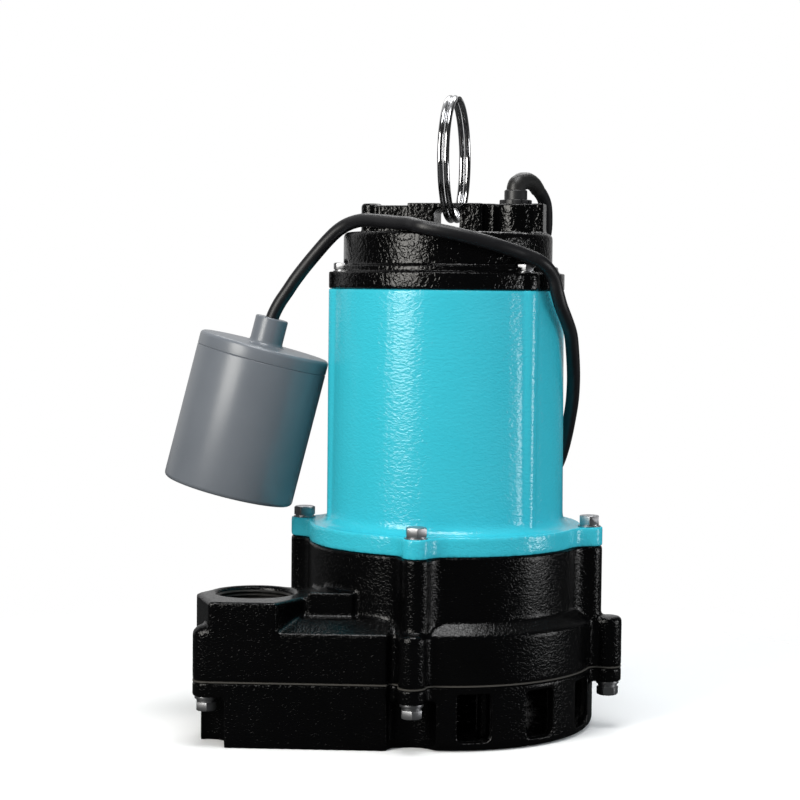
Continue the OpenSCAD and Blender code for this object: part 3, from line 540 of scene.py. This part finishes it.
base_bolt_seat = 28.4
base_bolt_at = ((270, 95.5), (0, 99.5), (90, 99.5), (153, 99.5), (221.09, 155.78))
places = [at_polar(*at, base_bolt_seat, 14 + 31 * k, flip=True) for k, at in enumerate(base_bolt_at)]
base_bolt = hex_bolt("base_bolt", flats=11.2, head=5, washer=3.4, shank=3.1, length=30)
fitted(repeated("casing_bolts", base_bolt, places), "pump", bolt_steel, "stainless", "base_bolts")

# --- Discharge thread ----------------------------------------------------------------------------
# The tapping for the discharge pipe is cut into the cast boss after painting: a fine spiral of bare
# iron, darkened with oil, with a lead-in chamfer above it.


def cut_iron(at):
    blotch = grain(at, 5, 4.0)
    return {
        "Base_Color": blotch.colours((0.025, 0.024, 0.023), (0.07, 0.067, 0.063)),
        "Roughness": 0.34 + blotch * 0.2,
        "Normal": bumps(grain(at, 0.5, 2.0), 0.02),
    }


mouth_at, thread_foot, thread_pitch, thread_turns = (-0.0998, -0.0648, 0), 58, 2.21, 10
tooth = ((22.5, 0), (22.15, 0.25), (21.0, 1.1), (22.15, 1.95))
tooth_corners = [(radius / 1000, 0, (thread_foot + height) / 1000) for radius, height in tooth]
thread = hoop("discharge_thread", tooth_corners)
in_edit_mode(thread, (bpy.ops.mesh.edge_face_add, {}))
spiral = {"angle": math.tau, "screw_offset": thread_pitch / 1000, "iterations": thread_turns}
work(thread, "SCREW", **spiral, steps=72, render_steps=72)
in_edit_mode(
    thread,
    (bpy.ops.mesh.remove_doubles, {"threshold": 1e-6}),
    (bpy.ops.mesh.normals_make_consistent, {"inside": False}),
)
smoothed(set_at(thread, Matrix.Translation(mouth_at)), 30)
fitted(thread, "pump", finish("cut_iron", cut_iron, Metallic=0.7), "black_casting")

# --- Shaft seal, impeller and rotor --------------------------------------------------------------
# The wet end and the shaft: a ceramic seal seat in the volute, a carbon seal head with its spring,
# a cast impeller locked by a nut, and the laminated rotor with its cast end rings on a steel shaft.


def rings(at, size):
    """Fine lathe marks: rings round the motor axis, the given distance apart in millimetres."""
    apart = at.node("SeparateXYZ", {0: at})
    across, along, up = (apart.output(k) for k in range(3))
    radius = (across * across + along * along) ** 0.5
    return ((radius + up) * (1000 * math.tau / size)).sum_of("SINE", 0.0) * 0.5 + 0.5


def turned_metal(colour, size, deep):
    """Metal from the lathe: rings of the given spacing and depth over faint blotches."""

    def make(at):
        marks = rings(at, size)
        blotch = grain(at, 12, 4.0)
        return {
            "Base_Color": (blotch * 0.7 + marks * 0.3).colours(tuple(0.8 * c for c in colour), colour),
            "Roughness": 0.2 + blotch * 0.15,
            "Normal": bumps(marks, deep),
        }

    return make


def stacked_sheets(at):
    """Edges of punched steel sheets, 0.5 mm thick, with a bluish bloom."""
    bands = {"wave_type": "BANDS", "bands_direction": "Z"}
    layers = at.node("TexWave", {"Vector": at, "Scale": 314.16, "Distortion": 0.3}, take="Fac", **bands)
    bloom = grain(at, 18, 3.0)
    return {
        "Base_Color": (layers * 0.6 + bloom * 0.4).colours((0.10, 0.105, 0.12), (0.30, 0.31, 0.34)),
        "Roughness": 0.35 + bloom * 0.2,
        "Normal": bumps(layers, 0.04),
    }


def matt_block(dark, pale, size, deep):
    """A plain dense material with a fine grain, such as ceramic, carbon or a moulded part."""

    def make(at):
        blotch = grain(at, size, 4.0)
        return {
            "Base_Color": blotch.colours(dark, pale),
            "Roughness": 0.3 + blotch * 0.2,
            "Normal": bumps(grain(at, size / 8, 2.0), deep),
        }

    return make


shaft_steel = finish("shaft_steel", turned_metal((0.62, 0.63, 0.65), 0.35, 0.006), Metallic=1.0)
race_steel = finish("race_steel", turned_metal((0.72, 0.73, 0.75), 0.2, 0.002), Metallic=1.0)
cast_aluminium = finish("cast_aluminium", turned_metal((0.58, 0.585, 0.6), 0.5, 0.02), Metallic=0.95)
sheet_stack = finish("sheet_stack", stacked_sheets, Metallic=0.9)
cage_brass = finish("cage_brass", plain_metal((0.72, 0.52, 0.22)), Metallic=1.0)
rough_iron = matt_block((0.05, 0.048, 0.046), (0.13, 0.125, 0.12), 3, 0.05)
impeller_iron = finish("impeller_iron", rough_iron, Metallic=0.6)
carried("seal_seat", finish("seal_ceramic", matt_block((0.72, 0.7, 0.66), (0.82, 0.81, 0.78), 6, 0.004)))
carried("seal_head", finish("seal_carbon", matt_block((0.012, 0.012, 0.013), (0.03, 0.03, 0.032), 2, 0.01)))
carried("impeller", impeller_iron)
for node in ("seal_spring", "impeller_nut", "preload_washer", "capacitor_strap", "float_ball"):
    carried(node, bolt_steel)
carried("motor_shaft", shaft_steel)
for node in ("rotor_end_rings", "lower_bearing_plate", "upper_bearing_plate"):
    carried(node, cast_aluminium)
for node in ("rotor_core", "stator_core"):
    carried(node, sheet_stack)
for side in ("lower", "upper"):
    for part in ("bearing_outer_ring", "bearing_inner_ring", "balls"):
        carried(f"{side}_{part}", race_steel)
    carried(f"{side}_cage", cage_brass)

# --- Stator windings and what lies under the cap -------------------------------------------------
# Varnished copper wire fills the stator's slots and loops over its ends, held by lacing cord. The
# run capacitor, its strap and the thermal protector sit above the upper bearing.


def wound_copper(at):
    strands = rings(at, 0.9)
    varnish = grain(at, 7, 3.0)
    return {
        "Base_Color": (strands * 0.7 + varnish * 0.3).colours((0.22, 0.06, 0.02), (0.72, 0.3, 0.13)),
        "Roughness": 0.25 + varnish * 0.2,
        "Normal": bumps(strands, 0.25),
    }


black_moulding = finish("black_moulding", matt_block((0.012, 0.012, 0.013), (0.022, 0.022, 0.024), 8, 0.01))
seal_rubber = finish("seal_rubber", matt_block((0.010, 0.010, 0.010), (0.022, 0.021, 0.020), 2, 0.02))
carried("stator_windings", finish("wound_copper", wound_copper, Metallic=0.85))
carried("run_capacitor", finish("capacitor_can", turned_metal((0.66, 0.67, 0.68), 0.8, 0.004), Metallic=1.0))
carried("thermal_protector", black_moulding)
for node in ("housing_o_ring", "cap_o_ring"):
    carried(node, seal_rubber)

# --- Motor housing -------------------------------------------------------------------------------
# Cast-iron shell with a lugged flange and three screw columns, sprayed with thick blue-green gloss
# that lies in an orange-peel skin. Four short hexagon bolts hold its flange to the volute's neck.


def blue_green_gloss(at):
    flat = at.node("VectorMath", {0: at, 1: (1, 1, 1.9)}, operation="MULTIPLY")
    peel = grain(flat, 2.6, 1.0, 0.4, 0.6)
    fine = grain(at, 0.8, 2.0)
    cloud = grain(at, 45, 3.0)
    # Paler teal in patches along outer edges: painted edge highlight.
    pale_patches = bright_edge_mask(at, 0.54, 0.62) * grain(at, 2.5, 3.0).between(0.5, 0.7)
    paint = cloud.colours((0.032, 0.48, 0.6), (0.048, 0.52, 0.65))
    return {
        "Base_Color": (pale_patches * 0.35).colours(paint, (0.3, 0.66, 0.74)),
        "Roughness": 0.15 + cloud * 0.08,
        "Normal": bumps(fine, 0.015, bumps(peel.between(0.25, 0.75), 0.1)),
    }


housing = cast("motor_housing", "motor_shell", skin=1.0, rounds=4)
fitted(housing, "pump", finish("blue_green_gloss", blue_green_gloss), "teal_casting", "motor_housing")
flange_bolt = hex_bolt("flange_bolt", flats=11.2, head=5.2, washer=1.4, shank=3.1, length=28)
flange_circle_r, flange_top = 87.2, 120
places = [at_polar(90 * k, flange_circle_r, flange_top, 8 + 23 * k) for k in range(4)]
fitted(repeated("flange_bolt_set", flange_bolt, places), "pump", bolt_steel, "stainless", "flange_bolts")

# --- Top cap -------------------------------------------------------------------------------------
# Cast-iron cap with a raised rib that holds the lifting eye and the cord gland. Its enamel is
# thicker than the base's and dries in coarse wrinkles. Three hexagon screws hold it down.

cap_black = finish("cap_black", black_enamel(2.2, 0.14), Specular_IOR_Level=0.35)
gland_x, boss_foot, boss_top = 40.5, 291, 310.4
boss_outline = outline_of((6.6, boss_foot), (13, boss_foot), (13, boss_top, 1), (6.6, boss_top, 0.4))
gland_boss = turned("gland_boss", boss_outline)
set_at(gland_boss, Matrix.Translation((gland_x / 1000, 0, 0)))
rib_pad = block("rib_pad", (-42, -7.5, boss_foot), (-21, 7.5, 309.5))
cap = cast("top_cap", "cap_casting", gland_boss, rib_pad, skin=0.9, rounds=3)
fitted(cap, "pump", cap_black, "black_casting", "top_cap")
cap_screw = hex_bolt("cap_screw", flats=9.2, head=4, washer=1.2, shank=2.5, length=26)
cap_circle_r, cap_flange_top = 64.2, 269.5
places = [at_polar(120 * k - 35.5, cap_circle_r, cap_flange_top, 11 + 40 * k) for k in range(3)]
fitted(repeated("cap_screw_set", cap_screw, places), "pump", bolt_steel, "stainless", "cap_screws")

# --- Lifting ring --------------------------------------------------------------------------------
# Split ring of polished stainless wire: two turns side by side with one short crossing at the top,
# threaded through the eye in the rib, where it can swing.


def swept(name, points, radius, radii=None, sides=16):
    """A round bar or cord along points in metres, with one radius or one radius for each point."""
    line = bpy.data.curves.new(name, "CURVE")
    line.dimensions = "3D"
    line.bevel_depth, line.bevel_resolution, line.use_fill_caps = radius, sides // 4 - 1, True
    line.twist_mode = "MINIMUM"
    spline = line.splines.new("POLY")
    spline.points.add(len(points) - 1)
    for k, (knot, point) in enumerate(zip(spline.points, points)):
        knot.co = (*point, 1)
        knot.radius = radii[k] / radius if radii else 1.0
    piece = bpy.data.objects.new(name, line)
    scene.collection.objects.link(piece)
    only(piece)
    bpy.ops.object.convert(target="MESH")
    in_edit_mode(
        piece,
        (bpy.ops.mesh.remove_doubles, {"threshold": 1e-7}),
        (bpy.ops.mesh.normals_make_consistent, {"inside": False}),
    )
    return smoothed(piece, 50)


def eased(value):
    """0 below 0, 1 above 1, and a slow start and end between."""
    return (1 - math.cos(math.pi * min(1.0, max(0.0, value)))) / 2


ring_x, ring_z, ring_r, wire_r = 3.2, 337, 36.2, 1.75
ring_from, ring_sweep, turns_apart, crossing = 96, 708, 3.7, 0.06


def ring_point(share):
    """A point of the wire, in metres: two turns, with the step from one to the other half way."""
    angle = math.radians(ring_from + ring_sweep * share)
    across = turns_apart / 2 * (2 * eased((share - 0.5) / crossing + 0.5) - 1)
    return Vector((ring_x + across, ring_r * math.cos(angle), ring_z + ring_r * math.sin(angle))) / 1000


def polished(at):
    drawn = grain(at, 0.25, 2.0)
    blotch = grain(at, 14, 3.0)
    return {
        "Base_Color": blotch.colours((0.6, 0.605, 0.62), (0.74, 0.745, 0.76)),
        "Roughness": 0.07 + blotch * 0.09 + drawn * 0.03,
        "Normal": bumps(drawn, 0.004),
    }


ring_steps = 288
ring_line = [ring_point(k / ring_steps) for k in range(ring_steps + 1)]
ring = swept("split_ring", ring_line, wire_r / 1000, sides=24)
fitted(ring, "lifting_ring", finish("polished_wire", polished, Metallic=1.0), "polished_ring", "lifting_ring")

# --- Cord gland and strain relief ----------------------------------------------------------------
# A moulded gland with a grooved collar screws into the boss on the cap and squeezes a rubber sleeve
# on the cord. The sleeve runs out in a soft tail that tapers down to the cord and bends with it.

gland = turned(
    "gland_nut",
    outline_of(
        (5.75, 287), (8, 287, 0.4), (8, 310.2), (9.6, 310.2), (9.6, 312.9, 0.5), (6.8, 312.9, 0.3),
        (6.8, 318.8, 0.9), (5.75, 318.8, 0.4),
    ),
)
grips = 12
for k in range(grips):
    grip = block("grip_tool", (9.1, -0.5, 309), (11, 0.5, 314))
    cut(gland, set_at(grip, Matrix.Rotation(math.tau * k / grips, 4, "Z")))
set_at(gland, Matrix.Translation((gland_x / 1000, 0, 0)))
fitted(gland, "pump", black_moulding, "nylon", "cord_gland_nut")
sleeve_route = [
    (40.5, 0, 289), (40.5, 0, 300), (40.5, 0, 308), (40.5, 0, 313.5), (40.5, 0.1, 318), (40.8, 1, 321.2),
    (43, 5, 324), (46.6, 11.4, 324.6), (49, 17, 322.8), (50.4, 22.2, 320.1),
]


def through(points, spacing=2.0):
    """A smooth line through points in millimetres, as points in metres about the given distance apart."""
    knots = [Vector(point) for point in points]
    knots = [2 * knots[0] - knots[1], *knots, 2 * knots[-1] - knots[-2]]
    line = []
    for before, start, end, after in zip(knots, knots[1:], knots[2:], knots[3:]):
        steps = max(1, round((end - start).length / spacing))
        spans = ((before, start), (start, end), (end, after))
        d1, d2, d3 = (max(1e-6, (b - a).length) ** 0.5 for a, b in spans)
        leave = ((start - before) / d1 - (end - before) / (d1 + d2) + (end - start) / d2) * d2
        arrive = ((end - start) / d2 - (after - start) / (d2 + d3) + (after - end) / d3) * d2
        for step in range(steps):
            t = step / steps
            place = (2 * t**3 - 3 * t**2 + 1) * start + (t**3 - 2 * t**2 + t) * leave
            place += (3 * t**2 - 2 * t**3) * end + (t**3 - t**2) * arrive
            line.append(place / 1000)
    return [*line, knots[-2] / 1000]


sleeve_line = through(sleeve_route, 0.4)
gone = [0.0]
for first, second in zip(sleeve_line, sleeve_line[1:]):
    gone.append(gone[-1] + (second - first).length * 1000)
sleeve_r, tail_r, taper_from = 5.7, 4.4, 30
tail_end = gone[-1] - 1
tapers = [eased((along - taper_from) / (tail_end - taper_from)) for along in gone]
radii = [(sleeve_r - (sleeve_r - tail_r) * taper) / 1000 for taper in tapers]
relief = swept("tapered_relief", sleeve_line, 0.006, radii, sides=24)
fitted(relief, "pump", seal_rubber, "seal_rubber", "cord_strain_relief")

# --- Power cord ----------------------------------------------------------------------------------
# Round three-core cord with a matt rubber jacket. It comes out of the relief, drops down the back of
# the housing, and is wound into a tied coil behind the pump, with its plug beside the turns.

cord_r = 0.004
power_coil_at = (-109, 142.4)
power_route = [
    (50.4, 22.2, 320.1), (52.3, 29.2, 316.4), (53.4, 35, 311.5), (53.4, 39.6, 304.8), (52.2, 45.8, 294.5),
    (47.6, 54, 282), (40.2, 63.8, 270.5), (29.4, 70.4, 260), (17.4, 76.2, 248), (5, 78.8, 234),
    (-7, 78.9, 219), (-18, 77.2, 202), (-27.5, 74.6, 184), (-35, 72.2, 166), (-40.5, 71, 148),
    (-44.4, 74, 132), (-47, 79, 118), (-48.4, 81, 102), (-49.6, 83.6, 86), (-51, 87, 68), (-52.4, 90.4, 50),
    (-54.2, 95.6, 32), (-55.8, 102.8, 17.5), (-56.3, 111.6, 8), (-56.3, 120, 5.2), (-56.27, 127, 4.7),
    (-56.27, 134.4, 4.7),
]
coil_in, coil_out, coil_leg, coil_z, layer_h, coil_turns = 34.5, 52.732, 2.12, 4.7, 8.5, 9.28
climb_share, last_step, last_share, last_drop = 0.5, 8.8, 0.35, 17.0


def coil_point(at, turn):
    """A point of the coil, in millimetres, after so many turns: in and out, and up a layer each time.

    The last part of a turn steps out past the others and comes down to the ground with the plug.
    """
    radius = coil_in + (coil_out - coil_in) * abs(1 - turn / coil_leg % 2)
    if turn >= 4 * coil_leg:
        radius = coil_out + last_step * min(1.0, (turn - 4 * coil_leg) / last_share)
    climbs = sum(eased((turn - k * coil_leg + climb_share / 2) / climb_share) for k in (1, 2, 3))
    height = coil_z + layer_h * climbs - last_drop * eased((turn - coil_turns + last_share) / last_share)
    angle = math.tau * turn
    return Vector((at[0] + radius * math.cos(angle), at[1] + radius * math.sin(angle), height))


def coil_end(at):
    """The back of the plug, in millimetres: the cord leaves the last turn straight."""
    angle = math.tau * coil_turns
    return coil_point(at, coil_turns) + 25 * Vector((-math.sin(angle), math.cos(angle), 0))


def coil_line(at):
    """The coil's points in metres, from where the cord comes in to the back of the plug."""
    steps = 444
    turns = [coil_point(at, coil_turns * k / steps) / 1000 for k in range(steps + 1)]
    end = coil_end(at) / 1000
    return [*turns, turns[-1].lerp(end, 0.5), end]


def length_of(line):
    return sum((second - first).length for first, second in zip(line, line[1:]))


def jacket(at):
    """Matt rubber with a dusty bloom, the faint print of the talc, and small scuffs."""
    bloom = grain(at, 22, 4.0)
    talc = grain(at, 0.5, 3.0)
    pale_patches = grain(at, 5, 5.0, 0.7).between(0.58, 0.72) * 0.5
    return {
        "Base_Color": (bloom * 0.5 + pale_patches).colours((0.003, 0.003, 0.004), (0.014, 0.014, 0.017)),
        "Roughness": 0.36 + bloom * 0.14 + pale_patches * 0.2,
        "Normal": bumps(talc, 0.02),
    }


cord_rubber = finish("cord_rubber", jacket)
power_line = [*through(power_route, 3.0)[:-1], *coil_line(power_coil_at)]
power_cord = swept("power_cord", power_line, cord_r, sides=28)
fitted(power_cord, "pump", cord_rubber, "cord", "power_cord_run", "power_cord_coil")


def lofted(name, sections):
    """A moulded shape: rounded squares (distance, half width, half height, corner) bridged in turn."""
    loops, quarters = [], ((-1, -1), (1, -1), (1, 1), (-1, 1))
    for along, half_y, half_z, corner in sections:
        outline = outline_of(*((y * half_y, z * half_z, corner) for y, z in quarters))
        loops.append(hoop(name, [(along / 1000, point.x / 1000, point.y / 1000) for point in outline]))
    piece = one_piece(name, loops)
    in_edit_mode(piece, (bpy.ops.mesh.bridge_edge_loops, {}))
    shape = bmesh.new()
    shape.from_mesh(piece.data)
    bmesh.ops.holes_fill(shape, edges=shape.edges, sides=0)
    bmesh.ops.recalc_face_normals(shape, faces=shape.faces)
    shape.to_mesh(piece.data)
    return smoothed(piece, 35)


def ribbed(start, pitch, count, steps):
    """Sections that repeat: each step is a distance into the pitch, half width, half height and corner."""
    return [(start + pitch * k + along, *size) for k in range(count) for along, *size in steps]


def plug_tail(length):
    """The ribbed tail of a plug: it widens from the cord to the body, with a slit between its rings."""
    sections, pitch = [], 3
    for k in range(int(length // pitch)):
        along = pitch * k
        wide = 5.2 + 2.8 * along / length
        slit = wide - 0.7
        rib = ((0, wide, wide), (1.9, wide + 0.15, wide), (2.0, slit, slit), (2.9, slit, slit))
        sections += [(along + step, half, half, corner * 0.98) for step, half, corner in rib]
    return [*sections, (length, 8, 8, 7.8)]


def plug_place(at):
    """The plug's place: at the end of its coil, and in line with the cord."""
    end = coil_end(at) / 1000
    return Matrix.Translation(end) @ Matrix.Rotation(math.tau * coil_turns + math.pi / 2, 4, "Z")


blade_y, pin_z, blade_length, pin_past_blade = 6.35, 8.8, 16, 3.4


def prongs(name):
    """Two flat blades, each with a hole near its end, and a round earth pin with a domed tip."""
    parts = []
    upright = Matrix.Rotation(math.pi / 2, 4, "X")
    for side in (-1, 1):
        blade = block("blade", (-1, blade_y * side - 0.75, -6.2), (blade_length, blade_y * side + 0.75, 0.1))
        hole = turned("hole_tool", ((0, -3), (1.55, -3), (1.55, 3), (0, 3)), steps=24, closed=False)
        place = Matrix.Translation(((blade_length - 4.2) / 1000, blade_y * side / 1000, -0.00305))
        parts.append(bevelled(cut(blade, set_at(hole, place @ upright)), 0.25))
    tip = blade_length + pin_past_blade
    pin = turned("pin", outline_of((0, -1), (2.4, -1), (2.4, tip, 2.2), (0, tip)), steps=32, closed=False)
    place = Matrix.Translation((0, 0, pin_z / 1000)) @ Matrix.Rotation(math.pi / 2, 4, "Y")
    return one_piece(name, [*parts, set_at(pin, place)])


blade_brass = finish("blade_brass", plain_metal((0.78, 0.62, 0.33), 0.3, 0.006), Metallic=1.0)
grip = ((0, 12.4, 12.4, 5.2), (1.6, 12.6, 12.6, 5.2), (1.8, 11.7, 11.7, 4.8), (2.7, 11.7, 11.7, 4.8))
body = [
    *plug_tail(20), (21.5, 9.3, 9.3, 7.5), (24.5, 12, 12, 5.5), *ribbed(26, 2.9, 5, grip),
    (41.6, 12.5, 12.5, 5.2), (42, 13, 13, 4), (44.6, 13, 13, 4), (45, 12.6, 12.6, 3.8),
]
power_plug = set_at(lofted("power_plug", body), plug_place(power_coil_at))
fitted(power_plug, "pump", black_moulding, "cord", "power_plug_body")
plug_face = Matrix.Translation((0.045, 0, 0))
power_prongs = set_at(prongs("power_prongs"), plug_place(power_coil_at) @ plug_face)
fitted(power_prongs, "pump", blade_brass, "blades", "power_plug_blades")


def strap(name, at):
    """A nylon strap round the bundle of turns, with its tail pulled through its own small head."""
    low, high, inner, outer, corner, wide = 0.55, 34.6, 30.05, 57.15, 3.4, 0.008
    places = ((inner, low), (outer, low), (outer, high), (inner, high))
    outline = outline_of(*((*place, corner) for place in places))
    band = hoop(name, [(point.x / 1000, -wide / 2, point.y / 1000) for point in outline])
    in_edit_mode(
        band,
        (bpy.ops.mesh.subdivide, {"number_cuts": 3}),
        (bpy.ops.mesh.extrude_region_move, {"TRANSFORM_OT_translate": {"value": (0, wide, 0)}}),
        (bpy.ops.mesh.normals_make_consistent, {"inside": False}),
    )
    work(band, "SOLIDIFY", thickness=0.0005, offset=1.0)
    bevelled(band, 0.12, segments=1)
    head = bevelled(block("head", (40, -5.2, 35.1), (46, 5.2, 38.6)), 0.8, segments=3)
    mouth = block("mouth_tool", (39, -4.2, 36), (47, 4.2, 37.3))
    tail = block("tail", (30.5, -3.6, 36.2), (47.5, 3.6, 37.1))
    tie = one_piece(name, [band, cut(head, mouth), bevelled(tail, 0.2, segments=1)])
    round_coil = Matrix.Rotation(math.radians(137), 4, "Z")
    return set_at(tie, Matrix.Translation((at[0] / 1000, at[1] / 1000, 0)) @ round_coil)


pale_nylon = matt_block((0.55, 0.55, 0.53), (0.68, 0.68, 0.66), 4, 0.02)
tie_nylon = finish("tie_nylon", pale_nylon, Subsurface_Weight=0.1, Subsurface_Scale=0.002)
power_tie = strap("power_coil_strap", power_coil_at)
fitted(power_tie, "pump", tie_nylon, "tie", "power_coil_tie")
round(length_of(power_line), 3)

# --- Float cord ----------------------------------------------------------------------------------
# The same cord leads from the float switch: it lies over the cap's shoulder, drops down the right
# side, and ends behind the pump in a second tied coil with a plug that takes the pump's own plug.

float_coil_at = (12, 168)
float_route = [
    (-50.4, -26.9, 299.1), (-45.6, -30.8, 299.7), (-36.4, -38.3, 299.2), (-27, -46.7, 298.3),
    (-18.7, -53.3, 297.4), (-11.3, -59, 296.9), (-2.9, -66.8, 294.9), (4.6, -67.6, 293.4), (12, -66.8, 292),
    (20.6, -64.8, 290.1), (30.2, -61, 287.6), (39.8, -55.4, 284.7), (46.8, -49.8, 282.3), (53, -44.4, 279.9),
    (60.5, -40.4, 276.6), (64.7, -35.6, 272.6), (67.8, -32.6, 267.5), (69.8, -30.8, 259.5),
    (71.6, -27, 251.5), (73.9, -18.8, 243), (75.6, -9, 234), (76, -2, 223), (75.8, 5.5, 211),
    (74.8, 13.5, 201), (73.2, 21.5, 191.5), (70.9, 28.8, 181.5), (68.5, 35.2, 172), (65.8, 41, 163),
    (62, 48.4, 153.5), (56, 56.4, 143), (50.4, 66.6, 131.5), (47.6, 75.6, 119), (45.6, 80.6, 103),
    (44.4, 84.4, 86), (44, 88, 69), (44.6, 92, 52), (46.8, 98, 35), (51.4, 107, 18.5), (57, 118.4, 8.5),
    (61.6, 131, 5.2), (64.3, 143, 4.7), (64.73, 152, 4.7), (64.73, 160, 4.7),
]
float_line = [*through(float_route, 3.0)[:-1], *coil_line(float_coil_at)]
float_cord = swept("float_cord", float_line, cord_r, sides=28)
fitted(float_cord, "pump", cord_rubber, "cord", "float_cord_run", "float_cord_coil")
grip = ((0, 15, 13, 3), (0.9, 15, 13, 3), (1, 14.4, 12.4, 2.6), (1.8, 14.4, 12.4, 2.6))
body = [
    *plug_tail(27), (27, 9, 9, 7), (28.5, 14, 12, 3.5), (30, 15, 13, 3), *ribbed(31, 1.9, 4, grip),
    (39.2, 15, 13, 3), (54.8, 15, 13, 3), (56, 14, 12, 2.4),
]
piggyback = lofted("piggyback_plug", body)
socket_x, sideways = 42, Matrix.Rotation(-math.pi / 2, 4, "X")
boss = turned("boss", outline_of((0, 12), (13, 12), (13, 18, 1.2), (0, 18)), steps=64, closed=False)
set_at(boss, Matrix.Translation((socket_x / 1000, 0, 0)) @ sideways)
for side in (-1, 1):
    slit_x = socket_x + blade_y * side
    cut(boss, block("slit_tool", (slit_x - 0.9, 8, -0.4), (slit_x + 0.9, 20, 6.5)))
hole = turned("pin_tool", ((0, -4), (2.6, -4), (2.6, 12), (0, 12)), steps=32, closed=False)
cut(boss, set_at(hole, Matrix.Translation((socket_x / 1000, 0.01, -pin_z / 1000)) @ sideways))
piggyback = smoothed(one_piece("piggyback_plug", [piggyback, boss]), 35)
set_at(piggyback, plug_place(float_coil_at))
fitted(piggyback, "pump", black_moulding, "cord", "piggyback_plug_body")
plug_side = Matrix.Translation((socket_x / 1000, -0.015, 0)) @ Matrix.Rotation(-math.pi / 2, 4, "Z")
float_prongs = set_at(prongs("piggyback_prongs"), plug_place(float_coil_at) @ plug_side)
fitted(float_prongs, "pump", blade_brass, "blades", "piggyback_plug_blades")
float_tie = strap("float_coil_strap", float_coil_at)
fitted(float_tie, "pump", tie_nylon, "tie", "float_coil_tie")
round(length_of(float_line), 3)

# --- Float switch --------------------------------------------------------------------------------
# A grey moulded drum, closed by a pressed-in lid whose neck grips the cord. Inside it a steel ball
# rolls along a tube and works a small switch when the float tips.

float_at, float_turn, float_tilt = (-0.1182, -0.0219, 0.1808), math.radians(10.5), math.radians(14.1)
tilted = Matrix.Rotation(float_turn, 4, "Z") @ Matrix.Rotation(float_tilt, 4, "Y")
in_float = Matrix.Translation(float_at) @ tilted
drum_r, drum_top, lid_top, neck_top = 39.5, 37.1, 45.5, 62.5


def float_plastic(at):
    """Grey moulded plastic: satin, with faint flow clouding and a skin of tiny pores."""
    cloud = grain(at, 30, 4.0)
    pores = grain(at, 0.5, 2.0)
    pale_patches = grain(at, 9, 6.0, 0.7).between(0.62, 0.75) * 0.3
    return {
        "Base_Color": (cloud * 0.7 + pale_patches).colours((0.125, 0.138, 0.158), (0.17, 0.185, 0.208)),
        "Roughness": 0.25 + cloud * 0.1 + pale_patches * 0.2,
        "Normal": bumps(pores, 0.006, bumps(grain(at, 14, 1.0), 0.06)),
    }


drum_grey = finish("drum_grey", float_plastic, Specular_IOR_Level=0.6)
drum_outline = outline_of(
    (0, -45.5), (30, -45.5), (31, -45.1), (drum_r, -45.1, 2.6), (drum_r, 36.7, 0.35), (39.1, drum_top),
    (36.6, drum_top), (36.6, -42.5, 1.5), (0, -42.5),
)
drum = turned("float_drum", drum_outline, steps=144, closed=False)
fitted(set_at(drum, in_float), "float", drum_grey, "float_shell", "float_shell")
lid_outline = outline_of(
    (3, 34.2), (15, 34.2), (36.4, 34.2), (36.4, drum_top), (39.1, drum_top), (drum_r, 37.5, 0.35),
    (drum_r, lid_top, 2.4), (9.9, lid_top, 3.2), (9.9, neck_top, 1.1), (4.1, neck_top, 0.5), (4.1, 36),
    (3, 36),
)
lid = turned("float_lid", lid_outline, steps=144)
fitted(set_at(lid, in_float), "float", drum_grey, "float_shell", "float_cap")
tube_plastic = finish("tube_plastic", matt_block((0.6, 0.6, 0.56), (0.72, 0.72, 0.69), 10, 0.004))
carried("float_switch_tube", tube_plastic)
carried("float_microswitch", black_moulding)

neck_tip, in_neck = ((in_float @ Vector((0, 0, height / 1000))) * 1000 for height in (neck_top, neck_top - 6))
lead_route = [
    (-49.7, -27.5, 299.2), (-53.8, -24.2, 298.3), (-58.3, -22, 296.6), (-63.5, -20.4, 293.4),
    (-69.6, -19, 287.9), (-76.8, -18.3, 280), (-84.4, -17.7, 271.1), (-89.7, -17.7, 264.2),
    (-94.6, -17.8, 257), (-98.7, -18.3, 250.9), (-101.6, -18.8, 245.4), tuple(neck_tip), tuple(in_neck),
]
lead_line = through(lead_route, 2.0)
lead = swept("float_lead_cord", lead_line, cord_r, sides=28)
lead.data.materials.append(cord_rubber)
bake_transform(lead)
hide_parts("float_lead")
round(length_of(lead_line), 3)
